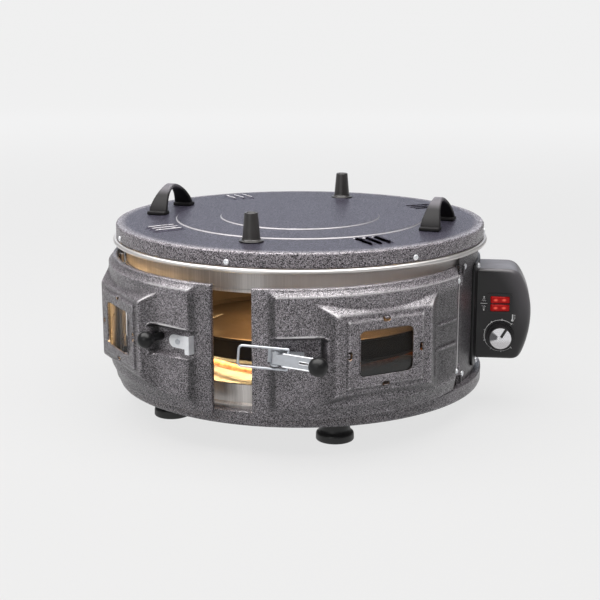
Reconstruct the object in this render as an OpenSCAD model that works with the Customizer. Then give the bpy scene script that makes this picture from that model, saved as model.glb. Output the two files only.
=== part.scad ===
// Round electric pizza oven: bright drum, painted shell, two hinged doors with
// windows and a toggle latch, lift-off lid and a control box on the right.
// Front is -Y, up is +Z, the feet stand on z = 0.

/* [Drum] */
// outer radius of the bright inner drum
drum_r = 204; // [198:1:212]
// height from the base ledge to the top of the bead
wall_h = 154; // [150:1:166]
// thickness of the painted sheet
sheet = 1.6; // [1.2:0.1:1.8]
// half angle of the front opening
opening_a = 67; // [60:1:68]

/* [Base] */
// height of the feet
foot_h = 30; // [22:1:40]
// radius of a foot at the table
foot_r = 21; // [17:0.5:24]
// distance of the feet from the drum axis
foot_ring = 166; // [150:1:178]
// height of the base pan's rim
pan_h = 16.5; // [14:0.5:22]

/* [Doors] */
// right door angle as drawn, zero is shut
right_open = 8.25; // [0:0.25:20]
// left door angle as drawn, zero is shut
left_open = 6.85; // [0:0.25:20]
// hinge angle from the front middle
hinge_a = 73.4; // [72:0.1:75]
// half width of the flat window block
block_w = 56.5; // [50:0.5:58]
// half height of the flat window block
block_h = 42; // [40:0.5:44]
// reach of the block's face past the door skin
block_out = 8.3; // [7:0.1:10]
// window width
window_w = 65; // [54:1:68]
// window height
window_h = 48.5; // [40:0.5:52]

/* [Latch] */
// lever angle above the door as drawn
lever_tilt = 22; // [10:1:40]
// lever length from the pivot
lever_l = 50; // [44:1:54]
// length of the wire bail
bail_l = 50; // [44:1:54]
// radius of the lever's ball knob
ball_r = 10; // [8:0.5:11]

/* [Lid] */
// height of the lid's skirt
lid_h = 17; // [14:0.5:24]
// turn of the loose lid on the drum
lid_turn = -1.5; // [-4:0.5:4]
// height of the strap handles
handle_h = 32; // [28:1:40]
// span of the strap handles between leg middles
handle_w = 78; // [70:1:86]
// how pointed the handles' arch is, 1 is an ellipse
handle_peak = 1.25; // [1:0.05:1.5]
// width of the handle straps at their top
handle_waist = 10.4; // [8:0.2:14]
// height of the two stand posts
post_h = 29; // [22:1:34]

/* [Tray] */
// gap between the tray's rim and the drum
tray_gap = 29; // [10:0.2:34]
// depth of the tray
tray_d = 30; // [24:1:36]

/* [Control box] */
// turn of the box round the drum from the right side
box_turn = 10; // [8:0.5:16]
// height of the box
box_h = 103.7; // [96:0.5:108]
// depth of the box
box_d = 62; // [58:1:70]
// rounding of the box's curved edge
box_edge = 14; // [8:0.5:16]
// pointer angle of the thermostat knob as drawn, clockwise from the top
pointer_a = 25; // [0:5:45]
// tilt of the rockers as drawn
rocker_tilt = 7; // [4:1:8]

/* [Hidden] */

paint = [0.30, 0.30, 0.32];
black = [0.07, 0.07, 0.07];
bright = [0.80, 0.79, 0.77];
zinc = [0.75, 0.76, 0.78];
glow = [0.85, 0.35, 0.12];
lamp = [0.80, 0.05, 0.04];
clear = [0.80, 0.85, 0.85];

wall = 1.2;
gap = 0.3;
run = 0.05;
z_ledge = foot_h + pan_h;
z_bead = z_ledge + wall_h;
z_mid = z_ledge + 70.4;
pan_r = drum_r + 12;
shell_r = drum_r + 5;
bead_t = 2.75;
bead_c = drum_r + 11.9;
bead_out = bead_c + bead_t;

door_r = drum_r + 10;
door_in = door_r - 5.7;
door_z0 = z_ledge + 0.5;
door_z1 = z_bead - 15;
field_r = door_r + 5;
free_a = 0.27;
field_a0 = 4.8;
field_a1 = 7.1;
field_a2 = hinge_a - 5.6;
field_a3 = hinge_a - 3.6;
hinge_r = drum_r + 8;
knuckle_r = 3.4;
pin_r = 2;
leaf_h = 12;
low_0 = z_ledge + 6;
low_1 = low_0 + 8;
high_1 = door_z1 - 0.5;
high_0 = high_1 - 9.5;
fixed_leaves = [[low_0, low_1], [high_0, high_1]];
door_leaf_z = [low_1 + gap, high_0 - gap - leaf_h];
block_a = hinge_a / 2 + 0.5;
block_d = door_r + block_out;
pane = 3;
tab_u = window_w / 2 + 10.5;
tab_z = window_h / 2 + 10.2;

pocket_a = 14;
pocket_d = door_r - 2.5;
pocket_h = 26;
pocket_z = z_mid + 2.6;
pivot_u = -27.3;
pivot_h = 12.5;
latch_turn = -4.5;
hang = 12.5;
hang_h = -1.6;
wire_r = 1.25;
bail_y = 10.8;
bail_tilt = 8;

lid_r = drum_r + 11;
lid_z = z_bead + gap;
lid_top = lid_z + lid_h - 0.3;
ring_1 = lid_r * 0.674;
ring_2 = lid_r * 0.433;
screw_z = lid_z + 4.8;
handle_ring = lid_r - 43;
post_ring = lid_r - 52;
post_r = 13;
bolt_r = 2.2;
dish_r = drum_r - 5;
waist_r = handle_w * 1.87;
lid_screw_turns = [-51.5, -1.5, 53.5, 104, 155, 206, 257];
vent_turn = 48;
vent_0 = lid_r * 0.68;
vent_l = lid_r * 0.18;

heater_r = drum_r - 84;
heater_t = 4;
heater_z = z_ledge + 15;
upper_z = lid_z - 13;
tray_z = z_ledge + 35.5;
tray_t = 1.2;
tray_r = drum_r - wall - tray_gap;
tray_flat = tray_r - 12;
support_w = 18;
support_t = 1.5;
support_h = 12;

flange_r = shell_r + 3;
box_z = z_mid - 0.3;
box_in = 2.5;
bulge_r = 90;
bulge_x = flange_r - 30.5;
box_out = bulge_x + bulge_r;
knob_x = flange_r + 25.3;
knob_z = box_z - 26;
rocker_x = flange_r + 23.6;
rocker_z = box_z + 11.5;
rocker_pitch = 9.3;
rocker_h = 7.9;
rocker_w = 21.6;

drum_x = -(box_out + 1.3 - bead_out) / 2;
drum_y = (drum_r + 60 - bead_out) / 2;

module at_drum() translate([drum_x, drum_y, 0]) children();

// a 2D profile of radius and height swept between two angles from the front
module sector(a0, a1) rotate([0, 0, a0 - 90]) rotate_extrude(angle = a1 - a0, $fn = 180) children();

module ring(r0, r1, z0, z1) rotate_extrude($fn = 180) translate([r0, z0]) square([r1 - r0, z1 - z0]);

module arc(a0, a1, r0, r1, z0, z1) sector(a0, a1) translate([r0, z0]) square([r1 - r0, z1 - z0]);

// local x along the skin, y up, z outward, at an angle from the front
module face(a) rotate([0, 0, a]) rotate([90, 0, 0]) children();

module radial(a, z, r) face(a) translate([0, z, r]) children();

module rod(r, h) cylinder(r = r, h = h, $fn = 48);

// local z turned onto local y, for pins that lie in a door's plane
module upright() rotate([-90, 0, 0]) children();

function at(r, a) = [r * sin(a), -r * cos(a)];

module swing_right() at_drum() translate(concat(at(hinge_r, hinge_a), 0)) rotate([0, 0, right_open])
    translate(-concat(at(hinge_r, hinge_a), 0)) children();

module swing_left() at_drum() mirror([1, 0, 0]) translate(concat(at(hinge_r, hinge_a), 0))
    rotate([0, 0, left_open]) translate(-concat(at(hinge_r, hinge_a), 0)) children();

module both_sides() at_drum() {
    children();
    mirror([1, 0, 0]) children();
}

module rounded(w, h, r) {
    square([w - 2 * r, h], center = true);
    square([w, h - 2 * r], center = true);
    for (x = [-1, 1], y = [-1, 1]) translate([x * (w / 2 - r), y * (h / 2 - r)]) circle(r = r, $fn = 32);
}

module screw(head_r, head_h, shank_r, shank_l) {
    rod(head_r, head_h);
    translate([0, 0, -shank_l]) rod(shank_r, shank_l);
}

foot_angles = [31, 135, -149, -45];

module base_pan() at_drum() color(paint) difference() {
    rotate_extrude($fn = 180) polygon([[0, foot_h], [pan_r - 3, foot_h], [pan_r - 0.9, foot_h + 0.9],
        [pan_r, foot_h + 3], [pan_r, z_ledge - 1.2], [pan_r - 1.2, z_ledge], [drum_r - 6, z_ledge],
        [drum_r - 6, z_ledge - wall], [pan_r - 2, z_ledge - wall], [pan_r - wall, z_ledge - 2],
        [pan_r - wall, foot_h + 3], [pan_r - 3, foot_h + wall], [0, foot_h + wall]]);
    for (a = foot_angles) rotate([0, 0, a]) translate([0, -foot_ring, foot_h - 1]) rod(2.5, 4);
    for (a = [0 : 30 : 330]) rotate([0, 0, a]) translate([-2.5, 95, foot_h - 1]) cube([5, 30, 4]);
}

module foot_at(a) at_drum() rotate([0, 0, a]) translate([0, -foot_ring, 0]) children();

module feet() color(black) for (a = foot_angles) foot_at(a) difference() {
    rotate_extrude($fn = 64) polygon([[0, 0], [foot_r - 0.8, 0], [foot_r, 0.8], [foot_r - 0.4, foot_h * 0.3],
        [foot_r * 0.84, foot_h * 0.36], [foot_r * 0.76, foot_h * 0.8], [foot_r * 0.83, foot_h * 0.86],
        [foot_r * 0.83, foot_h], [0, foot_h]]);
    translate([0, 0, foot_h - 14]) rod(2.5, 15);
}

module foot_screws() color(zinc) for (a = foot_angles) foot_at(a) translate([0, 0, foot_h + wall])
    screw(4.5, 2.6, 2.5, 12);

module floor_reflector() at_drum() color(bright) rotate_extrude($fn = 180)
    polygon([[0, z_ledge - 0.4], [60, z_ledge - 0.4], [90, z_ledge], [drum_r - wall, z_ledge],
        [drum_r - wall, z_ledge + 1], [90, z_ledge + 1], [60, z_ledge + 0.6], [0, z_ledge + 0.6]]);

lip_0 = z_ledge + 26;
lip_1 = z_bead - 28.5;

module inner_drum() at_drum() color(bright) difference() {
    union() {
        ring(drum_r - wall, drum_r, z_ledge, z_bead - 3);
        rotate_extrude($fn = 180) polygon([[drum_r - 0.2, z_ledge], [drum_r + 3.5, z_ledge],
            [drum_r + 3.5, z_ledge + 3.6], [drum_r - 0.2, z_ledge + 5.6]]);
        ring(drum_r - wall, bead_c, z_bead - 4.2, z_bead - 2.9);
        rotate_extrude($fn = 180) translate([bead_c, z_bead - bead_t]) circle(r = bead_t, $fn = 32);
        arc(-opening_a - 1.5, opening_a + 1.5, drum_r - 0.3, drum_r + 2, lip_0 - 6, lip_0);
        arc(-opening_a - 1.5, opening_a + 1.5, drum_r - 0.3, drum_r + 1.4, lip_1, lip_1 + 3);
    }
    arc(-opening_a, opening_a, drum_r - 6, drum_r + 6, lip_0, lip_1);
    for (a = [-1, 1]) radial(90 + box_turn + a * 4, heater_z, drum_r - 6) rod(heater_t + 3, 12);
    for (s = support_angles) radial(s, tray_z - 8, drum_r - 6) rod(1.6, 12);
}

wire_z = knob_z + 30;

module rear_shell() at_drum() color(paint) difference() {
    union() {
        arc(hinge_a + 1.2, 360 - hinge_a - 1.2, shell_r - 1.5, shell_r, z_ledge, z_bead - 8.5);
        arc(hinge_a + 8, 360 - hinge_a - 8, drum_r, shell_r - 1, z_bead - 11, z_bead - 9.4);
        for (a = [hinge_a + 9, -hinge_a - 9]) face(a) translate([-1, z_ledge + 20, drum_r + 0.1])
            cube([2, wall_h - 30.5, shell_r - drum_r - 1]);
    }
    for (s = [-1, 1], z = leaf_rivets) radial(s * (hinge_a + 4), z, shell_r - 6) rod(1.6, 12);
    for (y = [-1, 1], z = flange_screw_z) radial(90 + box_turn + y * 8.5, z, shell_r - 6) rod(1.6, 12);
    radial(90 + box_turn, wire_z, shell_r - 6) rod(10, 12);
}

leaf_rivets = [(low_0 + low_1) / 2, (high_0 + high_1) / 2];

module shell_rivets() color(zinc) both_sides() for (z = leaf_rivets) radial(hinge_a + 4, z, shell_r)
    screw(3.1, 1.4, 1.6, 2.8);

// hinge axis with local x towards the rear shell and y outward
module hinge_line(z) translate(concat(at(hinge_r, hinge_a), z)) rotate([0, 0, hinge_a]) children();

module hinge_leaves() color(zinc) both_sides() for (z = fixed_leaves) difference() {
    union() {
        arc(hinge_a - 0.3, hinge_a + 6.6, shell_r - 2.7, shell_r - 1.5, z[0], z[1]);
        hinge_line(z[0]) translate([-1.1, shell_r - 2.6 - hinge_r, 0]) cube([2.2, 3.4, z[1] - z[0]]);
        hinge_line(z[0]) rod(knuckle_r, z[1] - z[0]);
    }
    hinge_line(z[0] - 1) rod(pin_r, z[1] - z[0] + 2);
    for (q = leaf_rivets) radial(hinge_a + 4, q, shell_r - 6) rod(1.6, 12);
}

module hinge_pins() color(zinc) both_sides() {
    hinge_line(low_0) rod(pin_r, low_1 - low_0 + leaf_h);
    hinge_line(high_0 - leaf_h) rod(pin_r, high_1 - high_0 + leaf_h);
}

support_angles = [90, 150, 210, 270];

module tray_supports() at_drum() color(zinc) for (s = support_angles) {
    difference() {
        union() {
            face(s) translate([-support_w / 2, tray_z - gap - support_h - support_t, drum_r - wall - 2.2])
                cube([support_w, support_h + support_t, 3]);
            face(s) translate([-support_w / 2, tray_z - gap - support_t, tray_flat - 6])
                cube([support_w, support_t, drum_r - tray_flat + 6]);
        }
        ring(drum_r - wall, drum_r + 9, tray_z - 20, tray_z + 5);
    }
    radial(s, tray_z - 8, drum_r - wall - 1) rod(1.6, 2.2);
}

module heater_loop(z) rotate([0, 0, box_turn + 4.6]) rotate_extrude(angle = 350.8, $fn = 120)
    translate([heater_r, z]) rotate(75) circle(r = heater_t, $fn = 24);

// ends of a heater loop: a round elbow, then a straight run given as a child
module heater_end(z) for (a = [-1, 1]) radial(90 + box_turn + a * 4, z, heater_r) {
    rotate([35, 40, 0]) sphere(r = heater_t + 1, $fn = 48);
    children();
}

module lower_heater() at_drum() color(glow) {
    heater_loop(heater_z);
    heater_end(heater_z) rod(heater_t, drum_r - heater_r + 1);
}

module clip_posts(z0, z1) for (a = [40, 160, 280]) rotate([0, 0, a])
    translate([-4, -heater_r - heater_t - 2, z0]) cube([8, 2 * heater_t + 4, z1 - z0]);

module heater_clips() at_drum() color(zinc) difference() {
    clip_posts(z_ledge + 1, heater_z + heater_t + 1.5);
    heater_loop(heater_z);
}

module heater_terminal() at_drum() color([0.85, 0.82, 0.76]) difference() {
    for (a = [-1, 1]) radial(90 + box_turn + a * 4, heater_z, drum_r - 3) rod(heater_t + 3, 6);
    for (a = [-1, 1]) radial(90 + box_turn + a * 4, heater_z, heater_r) rod(heater_t, drum_r - heater_r + 1);
}

// control box frame: x away from the drum, -y to the front
module at_box() at_drum() rotate([0, 0, box_turn]) children();

flange_z0 = box_z - box_h / 2 - 8.5;
flange_z1 = box_z + box_h / 2 + 8.5;
flange_screw_z = [flange_z0 + 4.6, flange_z1 - 4.6];

module control_flange() at_drum() color(black) difference() {
    arc(90 + box_turn - 13.5, 90 + box_turn + 13.5, shell_r, flange_r, flange_z0, flange_z1);
    radial(90 + box_turn, wire_z, shell_r - 6) rod(10, 20);
    for (y = [-1, 1], z = flange_screw_z) radial(90 + box_turn + y * 8.5, z, shell_r - 6) rod(1.6, 12);
}

module flange_screws() at_drum() color(zinc) for (y = [-1, 1], z = flange_screw_z)
    radial(90 + box_turn + y * 8.5, z, flange_r) screw(3.2, 1.8, 1.6, 5);

// the box is a thick disc with rounded rims, cut off level above and below, e is the wall taken off
module box_form(e) intersection() {
    translate([bulge_x, 0, box_z]) rotate([90, 0, 0]) rotate_extrude($fn = 120) {
        translate([0, e + panel_y]) square([bulge_r - box_edge, box_d - 2 * e]);
        translate([0, box_edge + panel_y]) square([bulge_r - e, box_d - 2 * box_edge]);
        for (s = [-1, 1]) translate([bulge_r - box_edge, s * (box_d / 2 - box_edge)])
            circle(r = box_edge - e, $fn = 48);
    }
    translate([flange_r - 16, panel_y - 1, box_z - box_h / 2 + e]) cube([90, box_d + 2, box_h - 2 * e]);
}

// a 2D outline in the panel's plane, swept back from a depth
module from_front(y0, l) translate([0, y0 + l, 0]) rotate([90, 0, 0]) linear_extrude(l) children();

panel_y = -box_d / 2;

module control_housing() at_box() color(black) difference() {
    box_form(0);
    box_form(box_in);
    cylinder(r = flange_r, h = 400, $fn = 180);
    from_front(panel_y - 1, box_in + 2) translate([knob_x, knob_z]) circle(r = 5, $fn = 48);
    from_front(panel_y - 1, box_in + 2) translate([rocker_x, rocker_z]) square([25, 21.2], center = true);
    from_front(-panel_y - box_in - 1, box_in + 2) translate([knob_x, knob_z]) circle(r = 6, $fn = 48);
}

module thermostat() at_box() color(zinc) difference() {
    union() {
        from_front(panel_y + box_in, 18) translate([knob_x, knob_z]) circle(r = 14, $fn = 64);
        from_front(panel_y - 0.2, box_in + 1) translate([knob_x, knob_z]) circle(r = 5, $fn = 48);
    }
    from_front(panel_y - 1, 15) translate([knob_x, knob_z]) circle(r = 3 + run, $fn = 48);
}

module switch_frame() at_box() color(black) difference() {
    union() {
        from_front(panel_y, 18) translate([rocker_x, rocker_z]) square([25, 21.2], center = true);
        from_front(panel_y - 1.4, 1.4) translate([rocker_x, rocker_z]) rounded(28, 24, 2);
    }
    for (s = [-1, 1]) from_front(panel_y - 2, 12) translate([rocker_x, rocker_z + s * rocker_pitch / 2])
        square([rocker_w + 1.8, rocker_h + 0.7], center = true);
    translate([rocker_x, panel_y + 2, rocker_z - 10]) rod(1.2, 20);
}

module switch_pin() at_box() color(zinc) translate([rocker_x, panel_y + 2, rocker_z - 10]) rod(1.2, 20);

module rocker(s) at_box() color(lamp)
    translate([rocker_x, panel_y + 2, rocker_z + s * rocker_pitch / 2 - rocker_h / 2])
    rotate([0, 0, rocker_tilt]) difference() {
        linear_extrude(rocker_h) polygon([[-rocker_w / 2, -3.6], [-4, -4.3], [4, -4.3], [rocker_w / 2, -3.6],
            [rocker_w / 2 - 1, 3], [3, 5.5], [-3, 5.5], [1 - rocker_w / 2, 3]]);
        translate([0, 0, -1]) rod(1.2 + run, rocker_h + 2);
    }

module rocker_upper() rocker(1);

module rocker_lower() rocker(-1);

module thermostat_knob() at_box() color(black) translate([knob_x, panel_y, knob_z]) rotate([90, 0, 0])
    difference() {
        union() {
            translate([0, 0, 0.5]) cylinder(r1 = 15.6, r2 = 15, h = 4, $fn = 64);
            translate([0, 0, 4.5]) cylinder(r1 = 13.6, r2 = 13, h = 10, $fn = 64);
            translate([0, 0, -11]) rod(3, 12);
        }
        translate([0, 0, 13.7]) rod(12.2, 2);
    }

module knob_cap() at_box() color(bright) translate([knob_x, panel_y, knob_z]) rotate([90, 0, 0])
    difference() {
        translate([0, 0, 13.7]) rod(12.2, 1.2);
        rotate([0, 0, -pointer_a]) translate([-1.2, 0, 14.2]) cube([2.4, 14, 2]);
    }

module cable_gland() at_box() color(black) translate([knob_x, -panel_y - box_in - 2, knob_z]) rotate([-90, 0, 0]) {
    rod(8, 2);
    rod(6, 6);
    translate([0, 0, box_in + 2]) rod(8, 3);
    translate([0, 0, box_in + 5]) cylinder(r1 = 6.5, r2 = 5, h = 8, $fn = 48);
}

module baking_tray() at_drum() color(black) rotate_extrude($fn = 180)
    polygon([[0, tray_z], [tray_flat, tray_z], [tray_r - 7, tray_z + 5], [tray_r - 2.5, tray_z + tray_d - 3],
        [tray_r, tray_z + tray_d - 2], [tray_r, tray_z + tray_d], [tray_r - 3.6, tray_z + tray_d],
        [tray_r - 8.2, tray_z + 5.4], [tray_flat - 0.4, tray_z + tray_t], [0, tray_z + tray_t]]);

module at_lid() at_drum() rotate([0, 0, lid_turn]) children();

lid_bolt_spots = [for (s = [-1, 1], t = [-1, 1]) [s * handle_ring, t * handle_w / 2]];
post_spots = [[0, -post_ring], [0, post_ring]];

function lid_skin(r) = r > ring_1 ? lid_top + 1.1 * (lid_r - 3 - r) / (lid_r - 3 - ring_1)
    : r > ring_2 ? lid_top + 2.4 : lid_top + 3.6;

module lid_shell() at_lid() color(paint) difference() {
    rotate_extrude($fn = 180) polygon([[lid_r, lid_z], [lid_r, lid_top - 3], [lid_r - 0.9, lid_top - 0.9],
        [lid_r - 3, lid_top], [ring_1 + 0.5, lid_top + 1.1], [ring_1 - 0.5, lid_top + 2.4],
        [ring_2 + 0.5, lid_top + 2.4], [ring_2 - 0.5, lid_top + 3.6], [0, lid_top + 3.6],
        [0, lid_top + 2.4], [ring_2 - 1.6, lid_top + 2.4], [ring_2 - 0.6, lid_top + 1.2],
        [ring_1 - 1.6, lid_top + 1.2], [ring_1 - 0.6, lid_top - 0.1], [lid_r - 3.4, lid_top - 1.2],
        [lid_r - wall, lid_top - 3.4], [lid_r - wall, lid_z]]);
    for (a = lid_screw_turns) radial(a, screw_z, lid_r - 6) rod(1.5, 12);
    for (a = [0 : 90 : 270], u = [-11, 0, 11]) rotate([0, 0, a + vent_turn])
        translate([u - 1.6, -vent_0 - vent_l, lid_top - 6]) cube([3.2, vent_l, 16]);
    for (p = concat(lid_bolt_spots, post_spots)) translate(concat(p, lid_top - 6)) rod(bolt_r, 16);
}

module lid_reflector() at_lid() color(bright) difference() {
    rotate_extrude($fn = 180) polygon([[0, lid_z - 4], [dish_r, lid_z - 4], [dish_r, lid_z + 2.2],
        [lid_r - wall, lid_z + 2.2], [lid_r - wall, lid_z + 8], [lid_r - 2 * wall, lid_z + 8],
        [lid_r - 2 * wall, lid_z + 3.2], [dish_r - wall, lid_z + 3.2], [dish_r - wall, lid_z - 3], [0, lid_z - 3]]);
    for (a = lid_screw_turns) radial(a, screw_z, lid_r - 6) rod(1.5, 12);
}

module lid_screws() at_lid() color(zinc) for (a = lid_screw_turns) radial(a, screw_z, lid_r)
    screw(3.1, 1.7, 1.5, 4);

module handle_arch(w, h) polygon([for (t = [0 : 6 : 180])
    [w * sign(cos(t)) * pow(abs(cos(t)), handle_peak), h * pow(abs(sin(t)), handle_peak)]]);

module strap_handle() difference() {
    union() {
        difference() {
            translate([-10, 0, 0]) rotate([90, 0, 90]) linear_extrude(20) difference() {
                handle_arch(handle_w / 2 + 3, handle_h);
                translate([0, -0.5]) handle_arch(handle_w / 2 - 3, handle_h - 4.5);
            }
            for (s = [-1, 1]) translate([s * (waist_r + handle_waist / 2), 0, -1]) rod(waist_r, 60);
        }
        for (t = [-1, 1]) translate([-12, t * handle_w / 2 - 9, 0]) cube([24, 18, 4.4]);
    }
    for (t = [-1, 1]) translate([0, t * handle_w / 2, -1]) rod(bolt_r, 4.5);
}

handle_z = lid_skin(handle_ring - 12);

module lid_handle_left() at_lid() color(black) translate([-handle_ring, 0, handle_z]) strap_handle();

module lid_handle_right() at_lid() color(black) translate([handle_ring, 0, handle_z]) strap_handle();

module lid_posts() at_lid() color(black) for (p = post_spots) translate(concat(p, lid_skin(post_ring - post_r)))
    difference() {
        rotate_extrude($fn = 64) polygon([[0, 0], [post_r, 0], [post_r, 1.4], [post_r * 0.8, 2.8], [post_r * 0.72, 4],
            [post_r * 0.52, post_h - 1], [post_r * 0.46, post_h], [0, post_h]]);
        translate([0, 0, -1]) rod(bolt_r, 9);
    }

module handle_screws() at_lid() color(zinc) for (p = concat(lid_bolt_spots, post_spots))
    translate(concat(p, lid_skin(norm(p)) - wall - 2.1)) {
        rod(4, 2);
        rod(bolt_r, 6.4);
    }

module upper_heater() at_lid() color(glow) {
    heater_loop(upper_z);
    heater_end(upper_z) upright() rod(heater_t, lid_z - 4 - upper_z);
}

module upper_heater_clips() at_lid() color(zinc) difference() {
    clip_posts(upper_z - heater_t - 1.5, lid_z - 4);
    heater_loop(upper_z);
}

field_mid = (field_a1 + field_a2) / 2;

function past(p, q, k) = q + k * (q - p);

// plan of the raised field with its two slanted ends, k is the sheet taken off
module field_plan(k) {
    p1 = at(door_r - k, field_a0);
    p2 = at(field_r - k, field_a1);
    q1 = at(door_r - k, field_a3);
    q2 = at(field_r - k, field_a2);
    polygon([past(p2, p1, 1.5), past(p1, p2, 3), at(drum_r * 1.6, field_mid), past(q1, q2, 3),
        past(q2, q1, 1.5), at(drum_r * 0.8, field_mid)]);
}

// flat-topped block in a face frame: half sizes at the top and the run of its slopes
module frustum(w, h, d, slope, lift) {
    intersection() {
        translate([0, h + slope + 30, 0]) rotate([90, 0, 0]) linear_extrude(2 * (h + slope + 30))
            polygon([[-w - slope * 1.1, d - slope], [-w, d], [w, d], [w + slope * 1.1, d - slope]]);
        translate([-w - slope - 30, 0, 0]) rotate([90, 0, 90]) linear_extrude(2 * (w + slope + 30))
            polygon([[-h - lift, d - slope], [-h, d], [h, d], [h + lift, d - slope]]);
    }
}

module door_form(k) difference() {
    union() {
        arc(free_a + k * 0.27, hinge_a - (k > 0 ? 0 : 1), door_in - (k > 0 ? 12 : 0), door_r - k,
            door_z0 + k, door_z1 - k);
        intersection() {
            sector(field_a0 - 2, field_a3 + 1) polygon([[door_in + 2, door_z0 + 5], [door_r - k, door_z0 + 5],
                [field_r - k, door_z0 + 15.3], [field_r - k, door_z1 - 7.8], [door_r - k, door_z1 - 2],
                [door_in + 2, door_z1 - 2]]);
            linear_extrude(400) field_plan(k);
        }
        face(block_a) translate([0, z_mid, 0]) frustum(block_w, block_h, block_d - k, 20, 18);
        face(block_a) translate([0, z_mid, 0]) frustum(block_w - 12, block_h - 7, block_d + 1.4 - k, 4, 4);
        if (k == 0) for (z = [-12.5, 14.5]) sector(field_a2 - 12, field_a2 - 0.6) translate([field_r - 1.2, z_mid + z])
            circle(r = 2.6, $fn = 24);
    }
    face(pocket_a) translate([0, pocket_z, pocket_d - k]) intersection() {
        translate([-70, 0, 0]) rotate([90, 0, 90]) linear_extrude(92 + k) polygon([[-pocket_h / 2 - k, -1],
            [pocket_h / 2 + k, -1], [pocket_h / 2 + k + 6, 20], [-pocket_h / 2 - k - 6, 20]]);
        translate([-80, -40, 0]) cube([200, 80, 20]);
    }
}

tab_spots = [[0, tab_z, 0], [0, -tab_z, 0], [tab_u, 0, 90], [-tab_u, 0, 90]];

module door_panel() difference() {
    union() {
        difference() {
            door_form(0);
            door_form(sheet);
            for (t = tab_spots) face(block_a) translate([t[0], z_mid + t[1], block_d - 8]) rotate([0, 0, t[2]])
                translate([-4.5, -2.6, 0]) cube([9, 5.2, 20]);
        }
        for (t = tab_spots) face(block_a) translate([t[0], z_mid + t[1], block_d - sheet]) rotate([0, 0, t[2]])
            translate([-2.5, -3.4, 1.2]) cube([5, 6.8, 1.7]);
    }
    face(block_a) translate([0, z_mid, block_d - 30]) linear_extrude(60) rounded(window_w, window_h, 7);
    arc(hinge_a - 3.4, hinge_a + 5, drum_r, drum_r + 30, door_z0 - 5, low_1 + gap / 2);
    arc(hinge_a - 3.4, hinge_a + 5, drum_r, drum_r + 30, high_0 - gap / 2, door_z1 + 5);
    for (z = door_rivets) radial(hinge_a - 2.1, z, drum_r) rod(1.6, 30);
}

door_rivets = [for (z = door_leaf_z) z + leaf_h / 2];

module right_door_panel() swing_right() color(paint) difference() {
    door_panel();
    at_latch() for (x = latch_rivet_x) translate([x, 0, -8]) rod(1.6, 12);
}

module left_door_panel() swing_left() color(paint) difference() {
    door_panel();
    at_catch() translate([catch_rivet_x, 0, -8]) rod(1.6, 12);
    at_catch() translate([knob_stem_x, knob_stem_y, -8]) rod(2.2, 12);
}

module window_pane() face(block_a) translate([0, z_mid, block_d + 1.4 - sheet - pane]) linear_extrude(pane)
    square([window_w + 13, window_h + 13], center = true);

module right_window() swing_right() color(clear) window_pane();

module left_window() swing_left() color(clear) window_pane();

module door_leaves() for (z = door_leaf_z) difference() {
    union() {
        arc(hinge_a - 3.4, hinge_a - 0.7, door_r - sheet - wall, door_r - sheet, z + 0.2, z + leaf_h - 0.2);
        hinge_line(z) rod(knuckle_r, leaf_h);
    }
    hinge_line(z - 1) rod(pin_r + run, leaf_h + 2);
    for (q = door_rivets) radial(hinge_a - 2.1, q, drum_r) rod(1.6, 30);
}

module right_door_leaves() swing_right() color(zinc) door_leaves();

module left_door_leaves() swing_left() color(zinc) door_leaves();

module door_rivet_set() for (z = door_rivets) radial(hinge_a - 2.1, z, door_r) screw(2.7, 1.3, 1.6, 3.2);

module right_door_rivets() swing_right() color(zinc) door_rivet_set();

module left_door_rivets() swing_left() color(zinc) door_rivet_set();

// latch frame: x away from the free edge, y up, z out from the pocket floor
module at_latch() face(pocket_a) translate([pivot_u, z_mid, pocket_d]) rotate([0, 0, latch_turn]) children();

module at_catch() face(pocket_a) translate([pivot_u, pocket_z, pocket_d]) children();

latch_rivet_x = [13, 27];
catch_rivet_x = 19;
knob_stem_x = 43.5;
knob_stem_y = 2.5;

module latch_base() swing_right() at_latch() color(zinc) difference() {
    union() {
        translate([-7, -7.4, 0]) cube([16, 14.8, 1.2]);
        translate([8, -4.6, 0]) cube([22, 9.2, 1.2]);
        for (s = [-1, 1]) translate([0, s * 6.6, 0]) {
            translate([-4.5, -0.8, 0]) cube([9, 1.6, pivot_h]);
            translate([0, -0.8, pivot_h]) upright() rod(4.5, 1.6);
        }
    }
    translate([0, -10, pivot_h]) upright() rod(1.5, 20);
    for (x = latch_rivet_x) translate([x, 0, -8]) rod(1.6, 12);
}

module latch_rivets() swing_right() at_latch() color(zinc) for (x = latch_rivet_x) translate([x, 0, 1.2])
    screw(2.8, 1.2, 1.6, 3.4);

module latch_pin() swing_right() at_latch() color(zinc) translate([0, -8.2, pivot_h]) upright() {
    rod(1.5, 16.4);
    rod(2.4, 0.8);
    translate([0, 0, 15.6]) rod(2.4, 0.8);
}

// lever frame: x along the lever from the pivot, z out of its face
module at_lever() swing_right() at_latch() translate([0, 0, pivot_h]) rotate([0, -lever_tilt, 0]) children();

module latch_lever() at_lever() color(zinc) difference() {
    union() {
        translate([0, -5.4, 0]) upright() rod(3.5, 10.8);
        translate([0, -5.4, 1.6]) cube([9, 10.8, 1.6]);
        translate([7.6, -7, 1.6]) cube([lever_l - 7.6, 14, 1.6]);
        for (s = [-1, 1]) translate([7.6, s * 6.2 - 0.8, hang_h - 2.6]) cube([18, 1.6, 4.6 - hang_h]);
    }
    translate([0, -10, 0]) upright() rod(1.5 + run, 20);
    translate([hang, -10, hang_h]) upright() rod(wire_r + 0.08, 20);
    translate([26, -1.4, 0]) cube([10, 2.8, 6]);
}

module latch_knob() at_lever() color(black) difference() {
    translate([lever_l - 3, 0, 6.4]) sphere(r = ball_r, $fn = 64);
    translate([lever_l - 30, -7, 1.6]) cube([30, 14, 1.6]);
}

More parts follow.
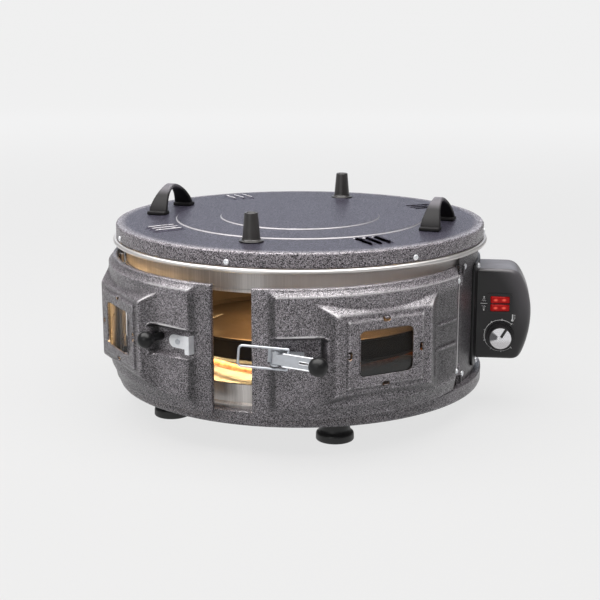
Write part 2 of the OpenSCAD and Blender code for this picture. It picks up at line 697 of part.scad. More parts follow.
// bail frame: hung on the lever, x back towards the free edge
module at_bail() at_lever() translate([hang, 0, hang_h]) rotate([0, lever_tilt - bail_tilt + 180, 0]) children();

module wire(p, q) {
    v = q - p;
    translate(p) rotate([0, acos(v[2] / norm(v)), atan2(v[1], v[0])]) rod(wire_r, norm(v));
}

module latch_bail() at_bail() color(zinc) {
    bend = 4;
    for (s = [-1, 1]) {
        wire([0, s * 5.2, 0], [0, s * bail_y, 0]);
        translate([0, s * bail_y, 0]) sphere(r = wire_r, $fn = 32);
        wire([0, s * bail_y, 0], [bail_l - bend, s * bail_y, 0]);
        translate([bail_l - bend, s * (bail_y - bend), 0]) rotate([0, 0, s > 0 ? 0 : -90])
            rotate_extrude(angle = 90, $fn = 64) translate([bend, 0]) circle(r = wire_r, $fn = 24);
    }
    wire([bail_l, bend - bail_y, 0], [bail_l, bail_y - bend, 0]);
}

module left_catch() swing_left() at_catch() color(zinc) difference() {
    union() {
        translate([-3, -7, 0]) cube([27.5, 14, 1.3]);
        translate([24.5, 0, 0]) rod(7, 1.3);
        translate([-3, -9.7, 0]) cube([1.6, 19.4, 8]);
        translate([-3, -9.7, 6.5]) cube([6, 19.4, 1.5]);
    }
    translate([catch_rivet_x, 0, -8]) rod(1.6, 12);
}

module left_catch_rivet() swing_left() at_catch() color(zinc) translate([catch_rivet_x, 0, 1.3])
    screw(2.8, 1.2, 1.6, 3.4);

module left_knob() swing_left() at_catch() color(black) translate([knob_stem_x, knob_stem_y, 0]) {
    translate([0, 0, -2.4]) rod(2.2, 3);
    cylinder(r1 = 4.4, r2 = 3.6, h = 18, $fn = 48);
    translate([0, 0, 24]) sphere(r = 9, $fn = 64);
}

base_pan();
feet();
foot_screws();
floor_reflector();
inner_drum();
rear_shell();
shell_rivets();
hinge_leaves();
hinge_pins();
tray_supports();
lower_heater();
heater_clips();
heater_terminal();
control_flange();
flange_screws();
control_housing();
thermostat();
switch_frame();
switch_pin();
cable_gland();
baking_tray();
lid_shell();
lid_reflector();
lid_screws();
lid_handle_left();
lid_handle_right();
lid_posts();
handle_screws();
upper_heater();
upper_heater_clips();
left_door_panel();
left_window();
left_door_leaves();
left_door_rivets();
left_catch();
left_catch_rivet();
left_knob();
right_door_panel();
right_window();
right_door_leaves();
right_door_rivets();
latch_base();
latch_rivets();
latch_pin();
latch_lever();
latch_knob();
latch_bail();
thermostat_knob();
knob_cap();
rocker_upper();
rocker_lower();
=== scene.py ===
import bpy
import bmesh
import math
import numpy as np
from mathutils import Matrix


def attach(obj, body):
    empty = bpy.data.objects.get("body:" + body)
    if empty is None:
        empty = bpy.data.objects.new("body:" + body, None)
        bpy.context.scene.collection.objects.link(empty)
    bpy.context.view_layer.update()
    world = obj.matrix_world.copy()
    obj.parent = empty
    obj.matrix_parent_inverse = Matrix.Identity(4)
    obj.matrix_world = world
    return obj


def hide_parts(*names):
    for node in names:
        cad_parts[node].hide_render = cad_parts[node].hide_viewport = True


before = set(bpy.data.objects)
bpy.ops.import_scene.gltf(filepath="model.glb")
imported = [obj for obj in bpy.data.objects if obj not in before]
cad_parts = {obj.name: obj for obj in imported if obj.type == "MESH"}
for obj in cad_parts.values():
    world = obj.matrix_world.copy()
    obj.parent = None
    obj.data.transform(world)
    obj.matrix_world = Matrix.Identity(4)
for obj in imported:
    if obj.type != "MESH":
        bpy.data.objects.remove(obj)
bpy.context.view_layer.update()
mm = 0.001
drumAt = np.array([-27.075, 22.675, 0.0])  # the drum's axis in mm
weld = {"merge": 2e-6, "slim": 1e-7}  # metres
print("frame loaded")


def turnZ(degrees):  # rotation about the vertical
    c, s = math.cos(math.radians(degrees)), math.sin(math.radians(degrees))
    return np.array([[c, -s, 0], [s, c, 0], [0, 0, 1.0]])


def faceTurn(degrees):  # columns: along the skin, up, outward, at an angle from the front
    c, s = math.cos(math.radians(degrees)), math.sin(math.radians(degrees))
    return np.array([[c, 0, s], [s, 0, -c], [0, 1.0, 0]])


def gridFaces(rows, cols, wrap=False):  # quads between neighbouring rows and columns of a grid
    i = np.arange(rows - 1)[:, None]
    j = np.arange(cols if wrap else cols - 1)[None, :]
    k = (j + 1) % cols
    corners = [i * cols + j, i * cols + k, (i + 1) * cols + k, (i + 1) * cols + j]
    return np.stack(corners, -1).reshape(-1, 4)


def together(shapes):  # several (points, faces) pairs as one
    points, faces, start = [], [], 0
    for p, f in shapes:
        points.append(p.reshape(-1, p.shape[-1]))
        faces.append(f + start)
        start += len(points[-1])
    return np.concatenate(points), np.concatenate(faces)


def addPiece(name, shape, material, body, stands=(), outward=True, sharp=40, shade=None):
    points, faces = shape
    mesh = bpy.data.meshes.new(name)
    mesh.from_pydata((points.reshape(-1, 3) * mm).tolist(), [], faces.tolist())
    if shade is not None:  # one value for each point, which the material reads
        values = mesh.attributes.new("shade", "FLOAT", "POINT")
        values.data.foreach_set("value", shade.ravel().astype(np.float32))
    work = bmesh.new()
    work.from_mesh(mesh)
    bmesh.ops.remove_doubles(work, verts=work.verts, dist=weld["merge"])
    bmesh.ops.dissolve_degenerate(work, edges=work.edges, dist=weld["slim"])
    if outward:
        bmesh.ops.recalc_face_normals(work, faces=work.faces)
    work.to_mesh(mesh)
    work.free()
    mesh.polygons.foreach_set("use_smooth", np.ones(len(mesh.polygons), bool))
    if sharp:
        mesh.set_sharp_from_angle(angle=math.radians(sharp))
    mesh.materials.append(material)
    piece = bpy.data.objects.new(name, mesh)
    bpy.context.scene.collection.objects.link(piece)
    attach(piece, body)
    if stands:
        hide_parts(*stands)
    return piece


def addWall(piece, thickness):  # a sheet's thickness, laid inwards
    wall = piece.modifiers.new("wall", "SOLIDIFY")
    wall.thickness, wall.offset = thickness * mm, -1.0


def ramp(x, start, run):  # 0 up to a start, then evenly to 1 over a run
    return np.clip((x - start) / run, 0, 1)


def hump(x, at, wide):  # a bell about a place
    return np.exp(-((x - at) / wide) ** 2)


def smooth(t):  # from 0 to 1 with a level start and end
    return t * t * (3 - 2 * t)


def softMax(a, b, k):  # the larger of two values with a blend of width k
    h = np.clip(k - np.abs(a - b), 0, None) / k
    return np.maximum(a, b) + h * h * k * 0.25


def softMin(a, b, k):  # the smaller of two values with a blend of width k
    return -softMax(-a, -b, k)


def roundTurn(steps):  # the angles of four quarter arcs and the signs of their corners
    quarter = np.linspace(0, math.pi / 2, steps)
    turn = np.concatenate([quarter + k * math.pi / 2 for k in range(4)])
    return turn, np.repeat([1.0, -1, -1, 1], steps), np.repeat([1.0, 1, -1, -1], steps)


def lathe(profile, count=64):  # a profile of radius and height carried round the vertical axis
    profile = np.asarray(profile, float)
    a = np.linspace(0, 2 * math.pi, count, endpoint=False)
    r, z = profile[:, :1], profile[:, 1:]
    points = np.stack([r * np.cos(a), r * np.sin(a), z + 0 * a], -1)
    return points, gridFaces(len(profile), count, True)


def eased(corners, radius, steps=5):  # a profile whose inner corners are rounded by quadratic arcs
    c = np.asarray(corners, float)
    before, here, after = c[:-2], c[1:-1], c[2:]
    lengthIn = np.linalg.norm(here - before, axis=1)
    lengthOut = np.linalg.norm(after - here, axis=1)
    cut = np.minimum(radius, 0.48 * np.minimum(lengthIn, lengthOut))[:, None]
    p = here + (before - here) / lengthIn[:, None] * cut
    q = here + (after - here) / lengthOut[:, None] * cut
    t = np.linspace(0, 1, steps)[None, :, None]
    arc = p[:, None] * (1 - t) ** 2 + 2 * here[:, None] * t * (1 - t) + q[:, None] * t ** 2
    return np.concatenate([c[:1], arc.reshape(-1, c.shape[1]), c[-1:]])


def softBox(size, radius, steps=4):  # a ball's directions pushed out to the corners of a box
    half = np.asarray(size, float) / 2 - radius
    around, signX, signY = roundTurn(steps)
    quarter = np.linspace(0, math.pi / 2, steps)
    up = np.concatenate([quarter - math.pi / 2, quarter])[:, None]
    signZ = np.repeat([-1, 1], steps)[:, None]
    points = np.stack([signX * half[0] + radius * np.cos(up) * np.cos(around),
                       signY * half[1] + radius * np.cos(up) * np.sin(around),
                       signZ * half[2] + radius * np.sin(up) + 0 * around], -1)
    rows, cols = points.shape[:2]
    low = np.arange(4) * steps
    caps = np.array([low[::-1], low + (rows - 1) * cols])
    return points.reshape(-1, 3), np.concatenate([gridFaces(rows, cols, True), caps])


def tube(path, radius, count=12):  # a ring carried along a path, its frame kept from twisting
    path = np.asarray(path, float)
    along = np.gradient(path, axis=0)
    along /= np.linalg.norm(along, axis=1)[:, None]
    side = np.cross(along, np.array([0.13, 0.21, 0.97]))  # a way that no path here takes
    side /= np.linalg.norm(side, axis=1)[:, None]
    other = np.cross(along, side)
    a = np.linspace(0, 2 * math.pi, count, endpoint=False)
    ring = side[:, None] * np.cos(a)[None, :, None] + other[:, None] * np.sin(a)[None, :, None]
    points = path[:, None] + radius * ring
    ends = np.stack([np.repeat(path[:1], count, 0), np.repeat(path[-1:], count, 0)])
    points = np.concatenate([ends[:1], points, ends[1:]])
    return points, gridFaces(len(points), count, True)


def pillow(outline, edge, low, high, rings=7, radial=False):  # a closed outline raised to a slab with a rounded top rim
    ahead, behind = np.roll(outline, -1, 0), np.roll(outline, 1, 0)
    normal = np.stack([ahead[:, 1] - behind[:, 1], behind[:, 0] - ahead[:, 0]], 1)
    middle = outline.mean(0)
    if radial:
        normal = outline - middle
    normal /= np.linalg.norm(normal, axis=1)[:, None]
    edge = np.broadcast_to(np.asarray(edge, float), (len(outline),))
    turn = np.linspace(0, math.pi / 2, rings)[:, None]
    inset = edge * (1 - np.cos(turn))
    flat = outline[None] - normal[None] * inset[..., None]
    depth = high - edge + edge * np.sin(turn)
    shrink = np.concatenate([[0.99], np.linspace(1, 0, 9)[1:]])[:, None, None]
    inner = middle + (flat[-1:] - middle) * shrink
    flat = np.concatenate([outline[None], flat, inner])
    depth = np.concatenate([np.full((1, len(outline)), low), depth, np.full(inner.shape[:2], high)])
    return np.concatenate([flat, depth[..., None]], -1), gridFaces(len(flat), len(outline), True)


def slabRound(x, y, halfX, halfY, radius):  # distance to a rounded rectangle and its outward direction
    qx, qy = np.abs(x) - (halfX - radius), np.abs(y) - (halfY - radius)
    outX, outY = np.maximum(qx, 0), np.maximum(qy, 0)
    reach = np.hypot(outX, outY)
    distance = reach + np.minimum(np.maximum(qx, qy), 0) - radius
    corner = (qx > 0) & (qy > 0)
    dirX = np.where(corner, outX / np.maximum(reach, 1e-9), (qx >= qy) * 1.0) * np.sign(x)
    dirY = np.where(corner, outY / np.maximum(reach, 1e-9), (qx < qy) * 1.0) * np.sign(y)
    return distance, dirX, dirY


class Wire:  # a node's output, with arithmetic that adds nodes
    def __init__(self, tree, socket=None):
        self.tree, self.socket = tree, socket

    def make(self, kind, settings=None, inputs=None, output=0):
        node = self.tree.nodes.new(kind)
        for key, value in (settings or {}).items():
            setattr(node, key, value)
        for key, value in (inputs or {}).items():
            if isinstance(value, Wire):
                self.tree.links.new(value.socket, node.inputs[key])
            else:
                node.inputs[key].default_value = value
        return Wire(self.tree, node.outputs[output])

    def calc(self, operation, a, b=0.0):
        return self.make("ShaderNodeMath", {"operation": operation}, {0: a, 1: b})

    def __add__(self, other): return self.calc("ADD", self, other)
    def __radd__(self, other): return self.calc("ADD", other, self)
    def __sub__(self, other): return self.calc("SUBTRACT", self, other)
    def __rsub__(self, other): return self.calc("SUBTRACT", other, self)
    def __mul__(self, other): return self.calc("MULTIPLY", self, other)
    def __rmul__(self, other): return self.calc("MULTIPLY", other, self)
    def __gt__(self, other): return self.calc("GREATER_THAN", self, other)
    def __lt__(self, other): return self.calc("LESS_THAN", self, other)

    def span(self, low, high, first=0.0, last=1.0):  # smooth step from one value to another
        return self.make("ShaderNodeMapRange", {"interpolation_type": "SMOOTHSTEP"},
                         {0: self, 1: low, 2: high, 3: first, 4: last})

    def blend(self, one, two):  # mixes two colours by this value
        return self.make("ShaderNodeMix", {"data_type": "RGBA"}, {0: self, 6: one, 7: two}, 2)

    def noise(self, scale, detail=2.0, rough=0.5):
        return self.make("ShaderNodeTexNoise", {},
                         {"Vector": self, "Scale": scale, "Detail": detail, "Roughness": rough})

    def bump(self, strength, distance):
        return self.make("ShaderNodeBump", {}, {"Height": self, "Strength": strength, "Distance": distance})

    def shade(self):  # the mesh's own value at each point
        return self.make("ShaderNodeAttribute", {"attribute_name": "shade"}, output=2)


def finish(name, look, **sockets):  # a material from a function that gives wires for the shader's sockets
    material = bpy.data.materials.new(name)
    material.use_nodes = True
    tree = material.node_tree
    shader = tree.nodes["Principled BSDF"]
    place = Wire(tree).make("ShaderNodeTexCoord", output=3)
    linked = look(place) if look else {}
    for key, value in {**sockets, **linked}.items():
        if isinstance(value, Wire):
            tree.links.new(value.socket, shader.inputs[key])
        else:
            shader.inputs[key].default_value = value
    return material


def centred(place, at, degrees=0.0):  # object coordinates moved to a point in mm and turned about the vertical
    moved = place.make("ShaderNodeVectorMath", {"operation": "SUBTRACT"},
                       {0: place, 1: tuple(np.asarray(at) * mm)})
    if not degrees:
        return moved
    return moved.make("ShaderNodeVectorRotate", {"rotation_type": "Z_AXIS"},
                      {"Vector": moved, "Angle": math.radians(-degrees)})


def parts(place):  # the three numbers of a vector
    node = place.tree.nodes.new("ShaderNodeSeparateXYZ")
    place.tree.links.new(place.socket, node.inputs[0])
    return [Wire(place.tree, out) for out in node.outputs]


hammer = {"dark": (0.0215, 0.0198, 0.0216, 1), "light": (0.49, 0.452, 0.49, 1), "grain": 1800.0,
          "relief": 0.12, "coat": (0.05, 0.9)}
# a darker copy of the hammered paint: painted shade for the shell and the hinge leaves
shadedHammer = {**hammer, "dark": (0.010, 0.0095, 0.0102, 1), "light": (0.18, 0.166, 0.18, 1), "coat": (0.0, 0.35)}
# a darker copy of the hammered paint: painted shade on the base pan
shadedPanHammer = {**hammer, "light": (0.36, 0.332, 0.36, 1), "coat": (0.05, 0.7)}
paintGloss = {"Coat Roughness": 0.20, "Coat IOR": 1.75}
paintPits = 0.0006  # metres
paintedHighlightTone = (0.86, 0.84, 0.85, 1)  # painted highlight: the pale tone of ridges, rims, rings and lips that catch the light
# the black that painted shade blends towards
noLight = (0.0, 0.0, 0.0, 1)


def speckle(place, grain):  # every cell of the paint has its own chance tone
    cell = place.make("ShaderNodeTexVoronoi", {"feature": "F1"}, {"Vector": place, "Scale": grain}, 1)
    fine = place.noise(grain * 1.3, 0.0)
    return parts(cell)[0].span(0.30, 0.95), fine


def hammerLook(dark, light, grain, relief, coat, withPaintedLight=False):
    def look(place):
        speck, fine = speckle(place, grain)
        broad = place.noise(26.0, 2.0)
        tone = speck * 0.94 + broad.span(0.3, 0.7, -0.03, 0.06)
        colour = tone.blend(dark, light)
        gloss = speck.span(0.0, 1.0, coat[0], coat[1])
        metal = broad.span(0.0, 1.0, 0.2, 0.3)
        if withPaintedLight:  # painted shade where the sheet's value is below 1, painted highlight where it is above
            shade = place.shade()
            dim = place.calc("MINIMUM", shade, 1.0)
            paintedHighlightMask = (shade - 1.0).span(0.0, 1.0)
            colour = paintedHighlightMask.blend(dim.blend(noLight, colour), paintedHighlightTone)
            gloss = gloss * dim
            metal = metal * (1.0 - paintedHighlightMask)
        return {"Base Color": colour, "Roughness": speck.span(0.0, 1.0, 0.50, 0.34), "Metallic": metal,
                "Coat Weight": gloss, "Normal": fine.bump(relief, paintPits)}
    return look


hammerPaint = finish("hammerPaint", hammerLook(**hammer), **paintGloss)
doorPaint = finish("doorPaint", hammerLook(**hammer, withPaintedLight=True), **paintGloss)
shadedShellPaint = finish("shadedShellPaint", hammerLook(**shadedHammer), **paintGloss)
shadedPanPaint = finish("shadedPanPaint", hammerLook(**shadedPanHammer), **paintGloss)

lidTone = {"dark": (0.011, 0.0104, 0.0162, 1), "light": (0.086, 0.080, 0.113, 1), "rings": (0.1449, 0.0931),
           "ringHalf": (0.0001, 0.0010), "front": (-0.10, 0.05, 0.44, 0.10), "rim": (0.201, 0.2130)}


def lidLook(place):  # a dark smooth coat, the doors' paint at the rim, and a painted highlight on the rings and the vents' lips
    speck, fine = speckle(place, hammer["grain"])
    x, y, z = parts(centred(place, drumAt))
    r = place.calc("SQRT", x * x + y * y)
    skirt = r.span(*lidTone["rim"])
    upper = speck.blend(lidTone["dark"], lidTone["light"])
    paintedHighlightMask = place.shade().span(0.72, 1.0, 0.0, 0.75)
    # the rings' painted highlight is strongest at the front
    front = y.span(*lidTone["front"])
    for ring in lidTone["rings"]:
        line = place.calc("ABSOLUTE", r - ring).span(*lidTone["ringHalf"], 1.0, 0.0)
        paintedHighlightMask = place.calc("MAXIMUM", paintedHighlightMask, line * front)
    painted = skirt.blend(upper, speck.blend(hammer["dark"], hammer["light"]))
    return {"Base Color": paintedHighlightMask.blend(painted, paintedHighlightTone), "Roughness": speck.span(0.0, 1.0, 0.50, 0.36),
            "Coat Weight": speck * (skirt * 0.65 + 0.25), "Normal": fine.bump(hammer["relief"], paintPits)}


lidPaint = finish("lidPaint", lidLook, Metallic=0.2,
                  **{"Coat Roughness": 0.22, "Coat IOR": 1.65, "Specular IOR Level": 0.15})

# 'right' and 'left' are a painted highlight and painted shade on the band under the bead
drumTone = {"dark": (0.36, 0.337, 0.323, 1), "light": (0.64, 0.612, 0.592, 1), "right": (0.97, 0.935, 0.925, 1),
            "left": (0.25, 0.215, 0.20, 1), "bead": (0.72, 0.70, 0.685, 1), "beadZ": (0.1940, 0.1952),
            "bandZ": (0.165, 0.170), "bandR": (0.2032, 0.2037), "rightX": (-0.02, 0.10), "leftX": (-0.20, -0.08)}


def brushedLook(place):  # upright brushing, with painted light on the band under the bead: a painted highlight to the right and painted shade to the left
    x, y, z = parts(centred(place, drumAt))
    angle = place.calc("ARCTAN2", y, x)
    square = x * x + y * y
    streakAt = place.make("ShaderNodeCombineXYZ", {}, {"X": angle * 190.0, "Y": z * 9.0, "Z": square * 40.0})
    streak = streakAt.noise(1.0, 3.0, 0.65)
    wide = streakAt.noise(0.13, 2.0)
    bead = z.span(*drumTone["beadZ"])
    outside = place.calc("SQRT", square).span(*drumTone["bandR"]) * z.span(*drumTone["bandZ"]) * (1.0 - bead)
    streak = streak * (1.0 - bead) + bead * 0.5
    tone = (streak * 0.55 + wide * 0.45).span(0.25, 0.75)
    # painted highlight to the right and painted shade to the left of the band
    right = x.span(*drumTone["rightX"]) * outside
    left = x.span(*drumTone["leftX"], 0.6, 0.0) * outside
    drawn = (right * 0.85).blend(tone.blend(drumTone["dark"], drumTone["light"]), drumTone["right"])
    drawn = left.blend(drawn, drumTone["left"])
    return {"Base Color": bead.blend(drawn, drumTone["bead"]),
            "Roughness": bead.span(0.0, 1.0, 0.0, 0.06) + streak.span(0.3, 0.7, 0.32, 0.44),
            "Metallic": 1.0 - outside * 0.6 - right * 0.3, "Normal": streak.bump(0.10, 0.0003)}


brightSheet = finish("brightSheet", brushedLook)


def zincLook(place):
    bloom = place.noise(240.0, 3.0, 0.6)
    cloud = place.noise(60.0, 2.0)
    tone = (bloom * 0.6 + cloud * 0.4).span(0.2, 0.8)
    return {"Base Color": tone.blend((0.46, 0.48, 0.51, 1), (0.58, 0.60, 0.64, 1)),
            "Roughness": bloom.span(0.3, 0.7, 0.36, 0.44)}


zinc = finish("zincPlate", zincLook, Metallic=0.9)


# a paler copy of the zinc: painted highlight on the lever's beads, the heads and the catch
def highlightZincLook(place):
    rub = place.noise(120.0, 2.0)
    return {"Base Color": rub.span(0.3, 0.7).blend((0.80, 0.82, 0.85, 1), (0.93, 0.94, 0.96, 1)),
            "Roughness": rub.span(0.3, 0.7, 0.34, 0.46)}


highlightZinc = finish("highlightZinc", highlightZincLook, Metallic=0.6)


def plasticLook(tone, grain, rough, paintedHighlight=None):
    def look(place):
        pits = place.noise(grain, 2.0)
        rub = place.noise(34.0, 3.0)
        dark, light = [tuple(share * c for c in tone) + (1,) for share in (0.8, 1.3)]
        colour = rub.span(0.35, 0.7).blend(dark, light)
        if paintedHighlight:  # two heights and the painted highlight tone above them
            colour = parts(place)[2].span(paintedHighlight[0], paintedHighlight[1]).blend(colour, paintedHighlight[2])
        return {"Base Color": colour, "Roughness": rub.span(0.3, 0.7, rough - 0.05, rough + 0.07),
                "Normal": pits.bump(0.10, 0.0003)}
    return look


def plastic(name, tone, grain, rough, shine, paintedHighlight=None):
    return finish(name, plasticLook(tone, grain, rough, paintedHighlight), **{"Specular IOR Level": shine})


# 'top' and 'end' are painted light: a paler top face and a painted highlight at the round end
boxTone = {"tone": (0.009, 0.0082, 0.0092), "grain": 1400.0, "rough": 0.36, "shine": 0.45,
           "top": (0.1655, 0.1680, (0.105, 0.099, 0.107, 1)), "end": (0.092, 0.087, 0.094, 1),
           "middle": (0.1815, 0.1156), "reach": (0.064, 0.091), "height": (-0.03, 0.02, 0.1, 1.0), "turn": 10.0}
blackPlastic = plastic("blackPlastic", boxTone["tone"], boxTone["grain"], boxTone["rough"], boxTone["shine"])
# the handles get a paler painted highlight on their tops
handlePlastic = plastic("handlePlastic", (0.009, 0.0083, 0.009), 1100.0, 0.56, 0.25,
                        (0.2395, 0.2475, (0.120, 0.114, 0.125, 1)))
postPlastic = plastic("postPlastic", (0.024, 0.022, 0.021), 1100.0, 0.32, 0.6)
knobPlastic = plastic("knobPlastic", (0.007, 0.007, 0.0075), 1400.0, 0.34, 0.3)
footRubber = plastic("footRubber", (0.012, 0.012, 0.012), 900.0, 0.42, 0.5)


def boxLook(place):  # black plastic with painted light: paler on its level top, and a painted highlight towards its round end
    base = plasticLook(boxTone["tone"], boxTone["grain"], boxTone["rough"], boxTone["top"])(place)
    x, y, z = parts(centred(place, drumAt, boxTone["turn"]))
    x, z = x - boxTone["middle"][0], z - boxTone["middle"][1]
    far = place.calc("SQRT", x * x + z * z).span(*boxTone["reach"]) * z.span(*boxTone["height"])
    return {**base, "Base Color": far.blend(base["Base Color"], boxTone["end"])}


boxPlastic = finish("boxPlastic", boxLook, **{"Specular IOR Level": boxTone["shine"]})


def enamelLook(place):
    film = place.noise(420.0, 2.0)
    wearAndPaintedLight = place.noise(20.0, 4.0)
    return {"Base Color": wearAndPaintedLight.span(0.3, 0.75).blend((0.010, 0.010, 0.011, 1), (0.024, 0.022, 0.021, 1)),
            "Roughness": wearAndPaintedLight.span(0.3, 0.7, 0.30, 0.44), "Normal": film.bump(0.08, 0.0003)}


trayEnamel = finish("trayEnamel", enamelLook)


def heaterLook(place):
    scale = place.noise(150.0, 3.0)
    return {"Base Color": scale.span(0.3, 0.7).blend((0.20, 0.07, 0.03, 1), (0.42, 0.19, 0.09, 1)),
            "Roughness": scale.span(0.3, 0.7, 0.5, 0.65),
            "Emission Color": scale.span(0.25, 0.75).blend((1.0, 0.16, 0.02, 1), (1.0, 0.36, 0.08, 1))}


hotTube = finish("hotTube", heaterLook, **{"Emission Strength": 0.06})


def ceramicLook(place):
    clay = place.noise(300.0, 3.0)
    return {"Base Color": clay.span(0.3, 0.7).blend((0.72, 0.68, 0.60, 1), (0.86, 0.83, 0.76, 1)),
            "Roughness": clay.span(0, 1, 0.7, 0.85)}


ceramic = finish("ceramicBush", ceramicLook)


def paneLook(place):  # clear glass, darkened on the right door's lower half by a painted shade
    film = place.noise(30.0, 3.0)
    x, y, z = parts(place)
    paintedTrayShade = x.span(0.0, 0.05) * z.span(0.098, 0.112, 0.66, 0.0)
    return {"Alpha": paintedTrayShade + 0.16, "Roughness": film.span(0.35, 0.75, 0.01, 0.06),
            "Base Color": film.span(0.3, 0.7).blend((0.020, 0.021, 0.020, 1), (0.035, 0.036, 0.034, 1))}


glassPane = finish("glassPane", paneLook, IOR=1.5)

panelTurn = turnZ(boxTone["turn"])  # the control box is turned round the drum
knob = {"x": 237.3, "y": -31.0, "z": 90.6}  # in the box's own frame
knobSpot = drumAt + panelTurn @ np.array([knob["x"], knob["y"], knob["z"]])
capTone = {"low": (0.58, 0.57, 0.58, 1), "high": (0.78, 0.78, 0.80, 1), "paintedDarkReflection": (0.12, 0.12, 0.125, 1),
           "mark": (0.012, 0.012, 0.012, 1), "sector": 2.95, "pointer": (0.0012, 0.0128), "half": (0.0013, 0.0018)}


def capLook(place):  # spun metal with a painted dark reflection in a sector at the left, painted light paler above, and a dark pointer
    x, y, z = parts(centred(place, knobSpot, boxTone["turn"]))
    angle = place.calc("ARCTAN2", z, x)
    square = x * x + z * z
    spun = place.calc("SINE", square * 420000.0) * 0.08
    # painted dark reflection in a sector at the left
    paintedDarkReflection = place.calc("COSINE", angle - capTone["sector"]).span(0.80, 0.95) * square.span(0.0000065, 0.00002)
    along, across = x * 0.5 + z * 0.866, z * 0.5 - x * 0.866
    line = place.calc("ABSOLUTE", across).span(*capTone["half"], 1.0, 0.0)
    pointer = (along > capTone["pointer"][0]) * (along < capTone["pointer"][1]) * line
    # painted light: paler on the upper half, darker on the lower
    bare = paintedDarkReflection.blend(z.span(-0.006, 0.0).blend(capTone["low"], capTone["high"]), capTone["paintedDarkReflection"])
    return {"Base Color": pointer.blend(bare, capTone["mark"]), "Metallic": 0.9 - pointer * 0.9,
            "Roughness": spun + 0.3, "Normal": spun.bump(0.2, 0.0002)}


capMetal = finish("capMetal", capLook)


def lensLook(centre):  # ribbed red with two lit spots
    def look(place):
        x, y, z = parts(centred(place, centre, boxTone["turn"]))
        spots = []
        for aside in (-0.0047, 0.0047):
            reach = place.calc("SQRT", (x - aside) * (x - aside) * 0.45 + z * z)
            spots.append(reach.span(0.0004, 0.0022, 1.0, 0.0))
        ribs = place.calc("SINE", x * 4200.0) * 0.5 + 0.5
        lit = place.calc("MAXIMUM", *spots)
        return {"Base Color": ribs.blend((0.30, 0.002, 0.002, 1), (0.40, 0.003, 0.003, 1)),
                "Emission Color": lit.blend((0.14, 0.0, 0.0, 1), (0.80, 0.12, 0.08, 1)),
                "Normal": ribs.bump(0.1, 0.0002)}
    return look


def inkLook(place):
    return {"Base Color": place.noise(900.0, 2.0).span(0.2, 0.8).blend((0.72, 0.72, 0.72, 1), (0.90, 0.90, 0.90, 1))}


whiteInk = finish("whiteInk", inkLook, Roughness=0.5)
print("materials made")

# finishes of the solids that stay
finishes = {
    "base_pan": shadedPanPaint, "rear_shell": shadedShellPaint, "foot_screws": zinc, "floor_reflector": brightSheet,
    "inner_drum": brightSheet, "hinge_leaves": shadedShellPaint, "hinge_pins": zinc, "tray_supports": zinc,
    "lower_heater": hotTube, "heater_clips": zinc, "heater_terminal": ceramic, "thermostat": zinc,
    "switch_frame": blackPlastic, "switch_pin": zinc, "cable_gland": blackPlastic, "baking_tray": trayEnamel,
    "lid_reflector": brightSheet, "handle_screws": zinc, "upper_heater": hotTube, "upper_heater_clips": zinc,
    "left_window": glassPane, "right_window": glassPane, "left_door_leaves": hammerPaint,
    "right_door_leaves": hammerPaint, "left_catch": highlightZinc, "left_catch_rivet": zinc, "latch_base": zinc,
    "latch_rivets": zinc, "latch_pin": zinc, "latch_lever": zinc, "latch_bail": zinc, "left_knob": knobPlastic,
    "latch_knob": knobPlastic, "thermostat_knob": blackPlastic, "knob_cap": capMetal}
for node, material in finishes.items():
    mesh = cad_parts[node].data
    mesh.materials.clear()
    mesh.materials.append(material)

# lengths in mm, angles in degrees from the front
door = {"skin": 214.0, "inner": 208.3, "z0": 47.0, "z1": 185.5, "edge0": 0.27, "edge1": 72.4, "hinge": 73.4,
        "hingeR": 212.0, "midZ": 116.9, "bend": 1.6, "sheet": 1.6, "cell": 1.25,
        "open": {"right": 8.25, "left": 6.85}, "notch": (3.8, 61.9, 174.1),
        "blockA": 37.2, "blockD": 222.3, "blockW": 56.5, "blockH": 42.0, "taper": 7 / 12, "steeper": 1.5,
        "pocketA": 14.0, "pocketD": 211.5, "pocketZ": 119.5, "pocketH": 13.0, "pocketL": 22.0,
        "pocketBank": (2.6, 3.0), "pocketBlend": 1.2, "window": (65.0, 48.5, 7.0),
        "tab": {"up": 34.45, "aside": 43.0, "long": 4.5, "short": 2.6, "r": 0.8}}
field = {"rise": 5.0, "blend": 1.8, "low": (52.0, 10.3), "high": (183.5, 5.8), "near": (4.8, 2.3), "far": (69.8, 2.0)}
blocks = ((0.0, 0.0, 20.0, 22.0, 18.0, 2.2),  # growth, height, then the bank's height, its runs aside and up, its blend
          (-12.0, 2.2, 4.0, 4.0, 4.4, 0.5))
rib = {"ups": (-12.5, 14.5), "r": 2.6, "base": 218.3, "from": 54.5, "to": 68.2, "run": 1.5, "sink": 9, "reach": 3.0,
       "blend": 0.8}
groove = {"a": 55.2, "wide": 0.75, "half": 44.0, "fade": 8, "deep": 1.8}
lip = {"up": 3.2, "end": 25.0, "wide": 1.5, "from": 4.8, "run": 2, "high": 1.0, "reach": 6}
perDegree = door["skin"] * math.pi / 180  # mm along the skin
hingeWay = math.radians(door["hinge"])
hingeAt = np.array([door["hingeR"] * math.sin(hingeWay), -door["hingeR"] * math.cos(hingeWay), 0])


def swing(points, side):  # a shut door's points in the drum's frame turned open, mirrored for the left
    out = hingeAt + (points - hingeAt) @ turnZ(door["open"][side]).T
    if side == "left":
        out = out * np.array([-1, 1, 1])
    return out + drumAt


def aroundDrum(a, r, z):  # an angle, a radius and a height as a point
    t = np.radians(a)
    return np.stack([r * np.sin(t), -r * np.cos(t), z], -1).reshape(-1, 3)


